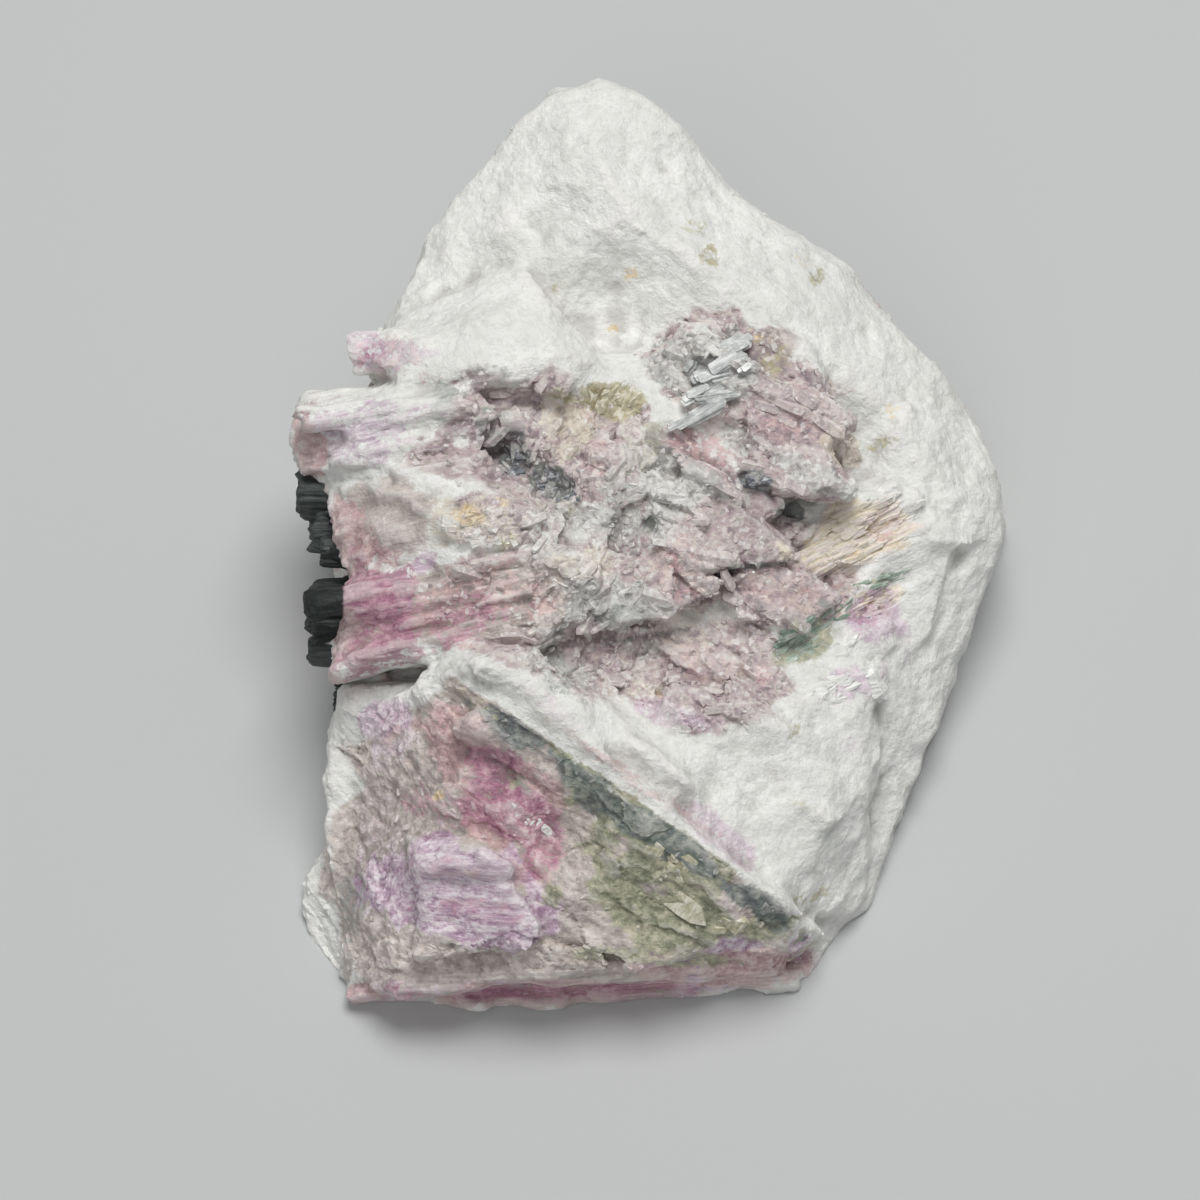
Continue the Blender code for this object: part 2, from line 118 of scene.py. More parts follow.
def hashed(cells, seed):
    """A number from 0 to 1 for each cell of a lattice."""
    right, back, up = cells.astype(np.int64).T
    mixed = (right * 73856093) ^ (back * 19349663) ^ (up * 83492791) ^ (seed * 2654435761)
    for shift, factor in ((13, 1274126177), (15, 668265263), (16, 1)):
        mixed &= 0xFFFFFFFF
        mixed = (mixed ^ (mixed >> shift)) * factor
    return (mixed & 0xFFFFFF) / 0xFFFFFF


def noise(place, size, seed):
    """Smooth noise from -1 to 1 with lumps of this size."""
    at = place / size
    low = np.floor(at)
    part = at - low
    part = part * part * (3.0 - 2.0 * part)
    total = np.zeros(len(at))
    for corner in itertools.product((0, 1), repeat=3):
        weight = np.prod(np.where(corner, part, 1.0 - part), axis=1)
        total += weight * hashed(low + corner, seed)
    return total * 2.0 - 1.0


def fractal(place, size, seed, octaves=4):
    """Noise from -1 to 1 with ever finer lumps."""
    total = np.zeros(len(place))
    weights = 0.0
    for step in range(octaves):
        share = 0.55 ** step
        total += share * noise(place + 17.3 * step, size * 0.5 ** step, seed + step)
        weights += share
    return total / weights * 1.6


def stretched(place, field, size, seed, octaves=3):
    """Noise drawn out into the fibres of this field."""
    angle, stretch = field
    x, y, out = from_face(place)
    along = x * np.cos(angle) + y * np.sin(angle)
    across = y * np.cos(angle) - x * np.sin(angle)
    return fractal(np.stack([along / stretch, across, out * 0.8], axis=1), size, seed, octaves)


def cells(place, size, seed):
    """The nearest of scattered points to each place, its number, and how much nearer it is than the next."""
    at = place / size
    low = np.floor(at)
    nearest = np.full(len(at), 9.0)
    second = nearest.copy()
    centre = np.zeros_like(at)
    for offset in itertools.product((-1, 0, 1), repeat=3):
        cell = low + offset
        point = cell + np.stack([hashed(cell, seed + axis) for axis in range(3)], axis=1)
        away = np.linalg.norm(point - at, axis=1)
        closer = away < nearest
        second = np.where(closer, nearest, np.minimum(second, away))
        nearest = np.where(closer, away, nearest)
        centre[closer] = point[closer]
    number = hashed(np.floor(centre), seed + 5)
    return centre * size, number, second - nearest


def smooth_step(value, low, high):
    share = np.clip((value - low) / (high - low), 0.0, 1.0)
    return share * share * (3.0 - 2.0 * share)


def line_place(x, y, start, end):
    """How far along a line on the face each point lies, and how far to its left."""
    turn = math.atan2(end[1] - start[1], end[0] - start[0])
    right, up = x - start[0], y - start[1]
    return right * math.cos(turn) + up * math.sin(turn), up * math.cos(turn) - right * math.sin(turn)


def broken(place, angle, size, seed, stretch, steep):
    """Crystals broken across and drawn out at this angle: the height of each one's face, and its number."""
    x, y, out = from_face(place)
    along = (x * np.cos(angle) + y * np.sin(angle)) / stretch
    local = np.stack([along, y * np.cos(angle) - x * np.sin(angle), out], axis=1)
    centre, number, gap = cells(local, size, seed)
    lattice = np.floor(centre / size)
    tilt = np.stack([hashed(lattice, seed + 11 + axis) for axis in range(3)], axis=1) * 2.0 - 1.0
    height = (number - 0.5) * size * 0.3 + np.sum((local - centre) * tilt, axis=1) * steep
    return height - smooth_step(0.12 - gap, 0.0, 0.12) * size * 0.03, number


# Where each mineral shows on the face: x, y, half length, half width, angle in degrees, strength
MINERALS = {
    "mica": (
        (-3.2, 9.7, 16, 8.6, -8, 1), (12.9, 17.6, 10.5, 6.6, -38, 1), (6.5, 0.5, 16, 6.4, 8, 1),
        (4.3, -11.6, 16.5, 5, -14, 1), (19, 11.5, 6.8, 7.5, -30, 1), (17.5, -3.2, 8.5, 4.8, 0, 1),
        (-8, -8.2, 9, 3, 14, 0.9), (-9, -2.6, 13, 3.6, 8, 1), (-13.5, 16, 7, 4.8, 0, 0.9),
        (9, 22, 6.5, 4.8, 0, 0.9), (12.8, -8.8, 5, 3.2, -15, 1),
    ),
    "silver": (
        (6.8, 8.2, 4.4, 3.8, 0, 0.9), (1, 8.8, 5.4, 3, 60, 0.6), (-1.8, 4.6, 6.2, 1.7, -12, 0.85),
        (-3, -5, 7.2, 2.8, 8, 0.9), (-3, 1.6, 7, 3.2, 10, 0.5), (9, 21.5, 6, 4.2, 0, 0.8),
        (20.8, 9.2, 4.4, 1.9, -30, 0.65), (-18.5, 17.4, 2.8, 3.2, 0, 0.8),
        (-5.4, -12.4, 5.4, 2.2, -30, 0.6), (-9.5, 4.6, 3, 1.6, 0, 0.5), (12.6, 13.2, 3, 1.6, -20, 0.6),
        (-8, -29.2, 1.9, 1.1, -40, 0.9), (6.6, -36.8, 3.6, 1.4, -30, 0.7), (2.6, -9.4, 3, 1.4, 0, 0.5),
        (-28.6, -33, 3, 9, 0, 0.45), (-24, -42, 4, 2, 0, 0.4),
    ),
    "cream": (
        (-6.5, 14.5, 3.6, 3.2, 0, 0.65), (-4.5, -0.6, 4.2, 1.8, 5, 0.7), (23.6, 11.8, 2.8, 2.2, -20, 0.7),
        (2, 12, 4, 1.8, 60, 0.5), (-14, 3.6, 6.6, 3, -8, 0.55), (8, -7.4, 4.4, 2, 0, 0.4),
        (-17, -42.2, 7.5, 1.3, 8, 0.9), (-4, -42.6, 6.5, 1.2, -6, 0.6), (3, -14.8, 4, 1.6, -20, 0.4),
    ),
    "beige": (
        (-27, -35, 5, 12.5, 0, 1), (-24.6, -21.5, 4, 6, -20, 0.95), (-12.5, -24, 9, 9, -35, 0.9),
        (-2, -31, 14, 8.5, -38, 1), (8, -39.5, 12, 4, -12, 1), (-5.1, -25.6, 2.8, 2.4, -45, 0.9),
        (-15.5, -15.2, 4.6, 1.2, -34, 0.9), (-8, -44.6, 22, 3, 2, 1), (-18, -40.5, 9, 4, 0, 0.9),
        (-24.8, 5, 7.4, 4.2, 6, 0.75), (-16, -4.8, 12, 4.4, 8, 0.95), (16.6, 22.8, 2.4, 2.4, -50, 0.8),
        (-3, -20.5, 9, 0.6, -34.8, 0.5),
    ),
    "fibre": (
        (25.4, 2.6, 7, 3.8, 24, 1), (27, -4.6, 3.6, 1.4, 18, 0.9),
    ),
    "lilac": (
        (-27.5, 13.8, 7, 3.8, 12, 0.5), (-17, -35.8, 8.6, 6.4, 0, 1.7), (-25.8, -17.2, 3.4, 2.6, 0, 0.7),
        (10.9, -30, 5.8, 2, -44, 0.55), (7.5, -17, 6, 1.7, -12, 0.55), (27.6, -5.4, 3.4, 4.4, 20, 0.6),
        (-21, -0.4, 1.5, 1.3, 0, 0.6), (12, -43.4, 10, 2.6, 6, 0.8), (-18, -46.5, 12, 1.4, 2, 0.5),
        (-8, -15.6, 5, 1.1, -34.8, 0.35), (30.5, -9, 1.2, 3, 0, 0.4), (-26.6, -33, 3.2, 10, 0, 0.28),
        (24.6, -13, 4, 2.2, 20, 0.6), (25, -20, 2, 1.2, 0, 0.3), (-25.6, 22, 5.6, 2.4, 0, 0.55),
        (-24, -19, 3.4, 4, 0, 0.5),
    ),
    "rose": (
        (-18.2, -19.6, 2.8, 4.4, 0, 0.8), (-18, -21, 5.8, 4.8, -20, 0.65), (-25.4, 21.8, 5.6, 2.6, 0, 0.3),
        (-33.6, 12.5, 2, 4.2, 0, 0.8), (-30, 3, 2.6, 5, 20, 0.8), (-11.5, -27.5, 7, 6.5, -40, 0.75),
        (-17, -4.6, 9, 3.8, 10, 0.65), (-27, -6.6, 5.5, 6, 12, 0.95), (17.2, 15.6, 5.6, 3, -25, 0.42),
        (16.8, -2.8, 6.6, 2.6, -8, 0.42), (-10, -47, 18, 1.6, 1, 1), (6.2, -1.6, 2.6, 3.2, 0, 0.5),
        (8, -11, 7, 2.4, -8, 0.45), (-2.6, 12, 1.6, 3.6, 20, 0.55), (9.4, 11.6, 4.4, 2.2, -20, 0.6),
        (15.2, -12, 0.8, 1.2, 0, 0.8), (-31, 0, 1.6, 2.4, 0, 0.7), (28, 3.4, 2.4, 2.4, 0, 0.4),
        (4.2, -25.4, 15, 0.8, -34.8, 0.4), (11, -44.4, 11, 2.2, 6, 0.9),
    ),
    "magenta": (
        (-27.6, 22.2, 3.4, 1.4, 0, 0.35), (-21, -5.2, 9, 1, 11, 0.5), (-14.5, -22.5, 2.6, 2.2, -30, 0.6),
        (-26, -3.6, 4.4, 2.6, 10, 1), (-25.5, -9, 5, 2.6, 15, 0.7), (-13.6, -23.4, 3.6, 2.6, -40, 0.85),
        (-11.4, -27.2, 3.8, 2.6, -60, 0.9), (-15.6, -25.6, 2.8, 1.6, 20, 0.6),
        (-9.2, -30.6, 2.8, 2.2, -30, 0.75), (-18.5, -26.5, 4.4, 2.2, -10, 0.5), (-18, -7, 7, 1.2, 12, 0.5),
        (-12, -46.6, 15, 1.1, 1, 0.65), (26.5, -6.4, 2.4, 1.7, 20, 0.25), (-17, -33, 6, 1.4, -3, 0.45),
        (-16, -37.4, 5, 0.9, -3, 0.4), (-28.6, 1, 1.2, 3, 20, 0.5),
    ),
    "green": (
        (3.6, -30.6, 13, 5.2, -37, 1), (6, -38.5, 10.5, 4, -10, 1), (-3.6, -22.6, 6.6, 1.3, -35, 0.75),
        (4.5, -42.6, 10, 1.2, -4, 0.7), (27.8, -2.2, 3.2, 0.9, 15, 0.8), (18.9, -9, 3.2, 2.3, 32, 0.9),
        (-7, 5.2, 2, 1.2, 0, 0.4),
    ),
    # Some dark spots are painted shade: those at 14.5, 8.5 and 18.4, 5 darken a pocket and a cavity, and the
    # thin lines at 14, -0.6 and 3, -8.2 darken the clefts under the ledge.
    "dark": (
        (0.4, -27, 19.5, 1.9, -34.8, 0.9), (-11.4, 10.4, 1.7, 1.5, -20, 1),
        (-13.5, 14, 3.4, 2.6, -30, 0.5), (-7, 8, 3, 1.5, -25, 0.85), (3.2, 3.7, 1.2, 1, 0, 0.95),
        (14.5, 8.5, 2.1, 1.1, -5, 0.9), (18.4, 5, 1.3, 1.1, 0, 0.9), (14, -0.6, 5, 0.4, 4, 0.6),
        (-12.5, 20.2, 2.8, 0.9, -15, 0.55), (19.2, -9, 2.7, 1.5, 32, 0.5), (27.2, -2.8, 2.4, 0.5, 12, 0.4),
        (-6, -13.5, 3.8, 1.4, -30, 0.35), (-29, -38, 1.4, 6, 0, 0.4), (-10.6, -24, 2, 0.8, -50, 0.4),
        (21.8, -4.6, 1.2, 1, 0, 0.6), (-9, -11, 3, 0.9, 14, 0.2), (3, -8.2, 7, 0.35, 10, 0.5),
        (1.6, 9.4, 4.6, 2.4, 60, 0.3),
    ),
    "olive": (
        (-0.8, 17.2, 4.2, 1.5, -8, 0.9), (-6.6, 17.8, 2.4, 1.2, -30, 0.5), (-13, 1.8, 1.7, 0.9, 0, 0.75),
        (16.8, 22, 1.6, 1.9, -50, 0.5), (27.6, 12.4, 2.6, 0.5, 15, 0.6), (18.7, -18.6, 0.6, 1.5, -30, 0.6),
        (-14.8, -15.6, 4, 0.8, -34, 0.3), (20.5, -26.5, 2.4, 0.8, -20, 0.35), (21, -36, 3, 0.8, 20, 0.4),
        (-7, 29, 1.6, 0.9, 20, 0.3), (9.5, 32.8, 0.9, 1.1, 0, 0.6), (21, 30.6, 1, 1.3, -30, 0.5),
        (8, 36, 1.4, 0.8, 0, 0.3),
    ),
    "rust": (
        (-16.5, 4.7, 1.3, 0.8, -10, 0.8), (-12.6, 6.2, 0.6, 0.5, 0, 0.7), (-0.9, 24.9, 1.2, 0.9, 0, 0.8),
        (14.8, 23.8, 1.5, 1, -30, 0.55), (25, 0.2, 2.2, 0.8, 20, 0.7), (27.6, 3.6, 2.8, 0.5, 27, 0.3),
        (-19.4, -25.3, 0.8, 0.6, 0, 0.8), (29, 16.2, 1.2, 0.8, 0, 0.3), (1.3, 30.6, 0.8, 0.7, 0, 0.6),
        (20, 32.4, 1.2, 0.7, -40, 0.3), (4, -14.6, 0.8, 0.5, 0, 0.6), (27, -4.4, 2.2, 0.4, 18, 0.6),
    ),
}

# Each mineral's tones from deep to pale, the shares of its colour that its separate grains and its
# fibres give, how raggedly it ends, and how far it covers the albite
LOOKS = {
    "mica": (((142, 126, 132), (166, 147, 152), (188, 168, 172), (198, 182, 181), (206, 197, 189),
              (222, 214, 211)), 0.5, 0.25, 0.8, 0.97),
    "silver": (((128, 132, 128), (158, 162, 158), (186, 188, 184), (208, 210, 206), (230, 232, 230)),
               0.55, 0.25, 1.1, 0.8),
    "cream": (((200, 190, 168), (222, 214, 196), (240, 235, 224)), 0.5, 0.2, 1.1, 0.8),
    "beige": (((160, 148, 144), (186, 174, 168), (206, 195, 188), (226, 216, 209)), 0.3, 0.35, 0.7, 0.92),
    "fibre": (((206, 188, 160), (226, 212, 184), (240, 230, 204), (232, 212, 210), (250, 244, 226)),
              0.1, 0.8, 0.7, 0.95),
    "lilac": (((158, 122, 152), (192, 162, 186), (220, 200, 214), (240, 230, 236)), 0.15, 0.65, 1.0, 0.88),
    "rose": (((166, 124, 130), (192, 154, 156), (212, 180, 178), (226, 204, 198)), 0.3, 0.4, 1.2, 0.8),
    "magenta": (((136, 78, 110), (168, 112, 140), (196, 150, 168), (222, 190, 200)), 0.35, 0.35, 1.9, 0.8),
    "green": (((118, 124, 100), (146, 150, 124), (174, 174, 148), (202, 198, 174)), 0.4, 0.25, 1.1, 0.88),
    "dark": (((84, 94, 98), (114, 124, 124), (148, 154, 146)), 0.3, 0.3, 1.0, 0.85),
    "olive": (((136, 130, 88), (170, 162, 116), (198, 192, 150)), 0.5, 0.2, 1.2, 0.75),
    "rust": (((208, 170, 98), (228, 196, 132), (240, 224, 182)), 0.3, 0.2, 1.4, 0.75),
    "black": (((28, 31, 32), (42, 46, 46), (62, 66, 66)), 0.2, 0.6, 0.1, 1.0),
}

# Smooth lens-shaped blades in the grainy mass: x, y, half length, half width and angle
BLADES = (
    (20.3, 8.6, 5.4, 2.9, -35), (13.5, 2.5, 6.6, 3.4, -25), (19.1, -3.2, 6, 3, -20),
    (18.3, 14.8, 7.5, 3.6, -35),
)

# The broken triangle's outline on the face, clockwise
TRIANGLE = (
    (-17.5, -13.2), (18.5, -37.8), (12.5, -44), (-28, -46.5), (-31, -38), (-27.4, -25), (-24.4, -17.4),
)

# Each mineral has a noise of its own at its edges. Their seeds count from this one.
PATCH_SEED = 40

# How much of each mineral the back and the underside have, which the photograph doesn't show
BEHIND = {
    "mica": 0.9, "beige": 0.7, "rose": 0.55, "lilac": 0.5, "green": 0.4, "rust": 0.35, "silver": 0.4,
}

# Parts of the face that break in their own way: x, y, half length, half width and angle
LENS = (-19, 5.5, 13, 5, 0)
KNOB = (-14, 3.4, 6.4, 3, 0)
BLOCK = (-17, -35.6, 8.5, 6.6, 0)
BAND = (26, 0, 9, 8, 0)


def depth_inside(x, y, corners):
    """How far inside this convex outline each point lies, less than 0 where it is outside."""
    deep = np.full(len(x), 1000.0)
    for start, end in zip(corners, corners[1:] + corners[:1]):
        _, left = line_place(x, y, start, end)
        deep = np.minimum(deep, -left)
    return deep


def within(x, y, spot):
    """How far each point lies inside an ellipse: 1 in its middle, 0 on its edge, less outside it."""
    left, up, length, width, angle = spot[:5]
    turn = math.radians(angle)
    along = ((x - left) * math.cos(turn) + (y - up) * math.sin(turn)) / length
    beside = ((y - up) * math.cos(turn) - (x - left) * math.sin(turn)) / width
    return 1.0 - np.sqrt(along * along + beside * beside)


def on_blades(x, y):
    """1 on the smooth blades in the grainy mass, 0 beside them."""
    share = np.zeros(len(x))
    for spot in BLADES:
        share = np.maximum(share, smooth_step(within(x, y, spot), 0.0, 0.4))
    return share


def patches(place, away, name):
    """How strongly a mineral shows at each place, from 0 to 1. Away is 1 where a place faces backwards."""
    seed = PATCH_SEED + list(MINERALS).index(name)
    *_, ragged, _ = LOOKS[name]
    x, y, _ = from_face(place)
    wander = fractal(place, 4.0, seed, 4)
    _, across = line_place(x, y, RIDGE_START, RIDGE_END)
    best = np.zeros(len(place))
    for spot in MINERALS[name]:
        left, up, *_, strength = spot
        share = smooth_step(within(x, y, spot) + wander * ragged * 0.6, -0.2, 0.32) * strength
        if up < RIDGE_TOP:
            _, side = line_place(left, up, RIDGE_START, RIDGE_END)
            share *= smooth_step(across * np.sign(side), -0.2, 0.4)
        best = np.maximum(best, share)
    if name == "beige":
        best = np.maximum(best, smooth_step(depth_inside(x, y, TRIANGLE) + wander * 0.8, -0.4, 0.8))
    behind = smooth_step(fractal(place, 15.0, seed + 20, 4), 0.18, 0.5) * BEHIND.get(name, 0.0)
    return best * (1.0 - away) + behind * away


# Black prisms at the left edge: the x, y and z of their broken ends on the face, and their radius
BLACK_PRISMS = (
    (-34.4, 7, -7.5, 2.6), (-33.2, 3.2, -7, 2.4), (-32.2, 1, -4.5, 1.6), (-33.2, -5, -5, 2.9),
    (-32.9, -8.6, -4, 2.8), (-30.4, -14.8, -5, 1.4),
)
# The splinter in front of the lower ones is black too
BLACK_SPLINTER = (-34.0, -4.7, 5.2, 2.6)


def beside_black_prisms(place):
    """How far each place lies in one of the black prisms, from 0 to 1."""
    x, y, out = from_face(place)
    best = np.zeros(len(place))
    for end, up, front, radius in BLACK_PRISMS + (BLACK_SPLINTER,):
        inside = smooth_step(radius + 0.6 - np.hypot(y - up, out - front), 0.0, 0.3)
        best = np.maximum(best, inside * smooth_step(end + 4.6 - x, 0.0, 0.8))
    return best


def regions(place):
    """How far each place belongs to the parts of the face that break in their own way, from 0 to 1."""
    x, y, _ = from_face(place)
    _, across = line_place(x, y, RIDGE_START, RIDGE_END)
    flank = smooth_step(-(across + 0.2), 0.0, 0.8) * smooth_step(-y, 12.0, 15.0)
    return {
        "columns": smooth_step(-x, 7.0, 12.0) * smooth_step(y, -14.5, -12.5) * smooth_step(-y, -22.5, -19.0),
        "triangle": flank,
        "block": smooth_step(within(x, y, BLOCK), 0.0, 0.25),
        "slab": smooth_step(-y, 43.6, 44.6),
        "band": smooth_step(within(x, y, BAND), 0.0, 0.3),
        "terrace": smooth_step(x, 26.0, 31.0) * smooth_step(y, 0.0, 4.0),
    }


# How each part of the face breaks: the angle of its fibres in degrees, and how far they are drawn out
FIBRES = {
    "columns": (12, 14), "triangle": (-34, 4), "block": (-3, 14), "slab": (2, 16), "band": (25, 12),
    "terrace": (22, 8),
}
STRIATED = ("columns", "block", "slab", "band")

# Elsewhere the fibres fan out from this x, at these angles
FAN_MIDDLE = 3.0
FAN_LEFT = 58.0
FAN_RIGHT = -28.0


def fibre_field(place, where):
    """The angle and the length of the fibres at each place."""
    x, _, _ = from_face(place)
    angle = np.where(x + fractal(place, 9.0, 70, 2) * 4.0 > FAN_MIDDLE, FAN_RIGHT, FAN_LEFT)
    stretch = np.full(len(x), 4.5)
    for name, (turn, drawn) in FIBRES.items():
        inside = where[name] > 0.5
        angle[inside] = turn
        stretch[inside] = drawn
    return np.radians(angle), stretch


def grains(place, field, size, seed):
    """Broken grains, drawn out the way each part of the face breaks: their relief and their numbers."""
    angle, stretch = field
    return broken(place, angle, size, seed, np.clip(stretch * 0.5, 1.4, 5.0), 0.4)


# The skin

def mesh_arrays(mesh):
    """The places of a mesh's points, in millimetres, and their normals."""
    count = len(mesh.vertices)
    place = np.empty(count * 3)
    mesh.vertices.foreach_get("co", place)
    normal = np.empty(count * 3)
    mesh.vertices.foreach_get("normal", normal)
    return place.reshape(-1, 3) / MM, normal.reshape(-1, 3)


def set_places(mesh, place):
    mesh.vertices.foreach_set("co", (place * MM).ravel())
    mesh.update()


def new_object(name, data):
    """Adds an object to the scene."""
    item = bpy.data.objects.new(name, data)
    bpy.context.scene.collection.objects.link(item)
    return item


def skin_from_solid():
    """The CAD solid's mesh as one fine even net."""
    skin = new_object("rock_skin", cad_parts[NODE].data.copy())
    net = skin.modifiers.new("net", "REMESH")
    net.mode = "VOXEL"
    net.voxel_size = VOXEL * MM
    wear = skin.modifiers.new("wear", "SMOOTH")
    wear.factor = 0.5
    wear.iterations = 2
    return applied(skin)


def applied(item):
    """The item with its modifiers made part of its mesh."""
    graph = bpy.context.evaluated_depsgraph_get()
    mesh = bpy.data.meshes.new_from_object(item.evaluated_get(graph))
    item.modifiers.clear()
    item.data = mesh
    return item


def averages(values, edges, steps):
    """The values, each replaced by its neighbours' average, this many times."""
    count = len(values)
    share = np.bincount(edges.ravel(), minlength=count).astype(float)[:, None]
    for _ in range(steps):
        total = np.zeros_like(values)
        for axis in range(values.shape[1]):
            total[:, axis] += np.bincount(edges[:, 0], values[edges[:, 1], axis], count)
            total[:, axis] += np.bincount(edges[:, 1], values[edges[:, 0], axis], count)
        values = total / share
    return values


def edges_of(mesh):
    edges = np.empty(len(mesh.edges) * 2, dtype=np.int64)
    mesh.edges.foreach_get("vertices", edges)
    return edges.reshape(-1, 2)


def facing_away(normal, edges):
    """1 where the stone's surface faces away from the eye, taken over a few millimetres, else 0."""
    broad = averages(normal, edges, 30)
    broad /= np.maximum(np.linalg.norm(broad, axis=1), 1e-6)[:, None]
    return smooth_step(-(broad @ np.array(OUTWARD)), 0.0, 0.35)


def give_relief(skin):
    """Moves the skin in and out as each mineral breaks: sugary, grainy, striated or layered."""
    mesh = skin.data
    place, normal = mesh_arrays(mesh)
    x, y, _ = from_face(place)
    where = regions(place)
    away = facing_away(normal, edges_of(mesh))
    grainy = np.maximum(patches(place, away, "mica"), 0.5 * patches(place, away, "cream"))
    grainy *= 1.0 - 0.6 * on_blades(x, y)
    lens = smooth_step(within(x, y, LENS), 0.0, 0.3)
    knob = smooth_step(within(x, y, KNOB), 0.0, 0.5)
    striated = np.clip(where["columns"] + where["slab"] + where["band"], 0.0, 1.0) * (1.0 - 0.75 * lens)
    crumbly = where["triangle"] * (1.0 - where["block"]) * (1.0 - where["slab"])
    sugary = np.clip(1.0 - grainy - striated - crumbly, 0.0, 1.0)

    field = fibre_field(place, where)
    coarse = stretched(place, field, 1.5, 4)
    fine = stretched(place, field, 0.7, 60)
    big, _ = grains(place, field, *BIG_GRAINS)
    small, _ = grains(place, field, *SMALL_GRAINS)
    move = fractal(place, 7.0, 1, 4) * 0.35
    move += sugary * (fractal(place, 3.2, 2, 4) * 0.26 + fractal(place, 0.9, 22, 2) * 0.07)
    move += where["terrace"] * coarse * 0.16
    folds = np.sin((y * 0.93 + x * 0.36) * 1.5 + fractal(place, 5.0, 45, 2) * 2.5)
    move += lens * (1.0 - knob) * (1.0 - away) * folds * 0.28
    move += knob * (1.0 - away) * (0.7 + 0.5 * big + 0.4 * small)
    move += grainy * (coarse * 0.30 + big * 0.5 + small * 0.24 + fine * 0.12)
    move += striated * (1.0 - 0.4 * where["band"]) * (coarse * 0.5 + fine * 0.3)
    move += crumbly * (coarse * 0.24 + big * 0.22 + small * 0.2 + fine * 0.1)
    move += where["block"] * (coarse * 0.12 + fine * 0.16)
    along, across = line_place(x, y, RIDGE_START, RIDGE_END)
    inside = smooth_step(along, 0.0, 4.0) * smooth_step(-along, -42.0, -38.0) * (1.0 - away)
    move -= inside * 0.2 * np.exp(-((across - 0.6) / 0.9) ** 2)
    move[place[:, 2] < 0.4] = 0.0
    place = place + normal * move[:, None]
    place[:, 2] = np.maximum(place[:, 2], 0.0)
    set_places(mesh, place)


def thin_out(skin):
    """Keeps the skin under its number of triangles, where it is plainest."""
    mesh = skin.data
    triangles = sum(len(face.vertices) - 2 for face in mesh.polygons)
    if triangles > SKIN_TRIANGLES:
        thin = skin.modifiers.new("thin", "DECIMATE")
        thin.ratio = SKIN_TRIANGLES / triangles
        applied(skin)


def keep_in_box(item):
    """Keeps every point inside the CAD model's box."""
    low, high = (np.array(corner) / MM for corner in cad_box)
    place, _ = mesh_arrays(item.data)
    set_places(item.data, np.clip(place, low, high))


def add_numbers(mesh, name, values):
    """Stores one number for each point of the mesh, for its material to read."""
    made = mesh.attributes.new(name, "FLOAT", "POINT")
    made.data.foreach_set("value", values.astype(np.float32))


def paint(item, away, numbers=None):
    """Stores how strongly each mineral shows and how hollow the surface is, with numbers for its grains."""
    mesh = item.data
    place, normal = mesh_arrays(mesh)
    where = regions(place)
    for name in MINERALS:
        add_numbers(mesh, name, patches(place, away, name))
    add_numbers(mesh, "black", beside_black_prisms(place))
    field = fibre_field(place, where)
    _, big = grains(place, field, *BIG_GRAINS)
    drift = fractal(place, 5.0, 33, 2) * 0.5 + 0.5
    if numbers is None:
        _, small = grains(place, field, *SMALL_GRAINS)
        numbers = big * 0.45 + small * 0.25 + drift * 0.3
    else:
        numbers = big * 0.2 + numbers * 0.45 + drift * 0.35
    add_numbers(mesh, "grain", np.clip(numbers * 1.6 - 0.3, 0.0, 1.0))
    add_numbers(mesh, "streak", np.clip(stretched(place, field, 1.1, 4) * 0.75 + 0.5, 0.0, 1.0))
    for name in STRIATED:
        add_numbers(mesh, "part_" + name, where[name])
    edges = edges_of(mesh)
    # how hollow the surface is, which the material darkens as painted shade
    hollow = np.zeros(len(place))
    for steps, weight in ((4, 1.6), (20, 0.9)):
        smooth = averages(place, edges, steps)
        hollow += np.sum((smooth - place) * normal, axis=1) * weight
    add_numbers(mesh, "hollow", np.clip(hollow, -1.0, 1.0))


# Crystals that stand on the skin

def net_of(item):
    """The item's surface, for rays to meet."""
    rock = bmesh.new()
    rock.from_mesh(item.data)
    net = BVHTree.FromBMesh(rock)
    rock.free()
    return net


def seen_at(net, x, y):
    """Where the eye meets the surface when it looks at x, y on the face."""
    eye = on_face(EYE_X, EYE_Y, 0.0) + OUTWARD * EYE_DISTANCE * MM
    hit, normal, _, _ = net.ray_cast(eye, (on_face(x, y, 0.0) - eye).normalized())
    return hit, normal


def laid_along(normal, angle):
    """Axes for a crystal that lies on a surface and runs at this angle across the face."""
    turn = math.radians(angle)
    wanted = Vector((1.0, 0.0, 0.0)) * math.cos(turn) + UPWARD * math.sin(turn)
    across = normal.cross(wanted).normalized()
    return Matrix((across.cross(normal), across, normal)).transposed()


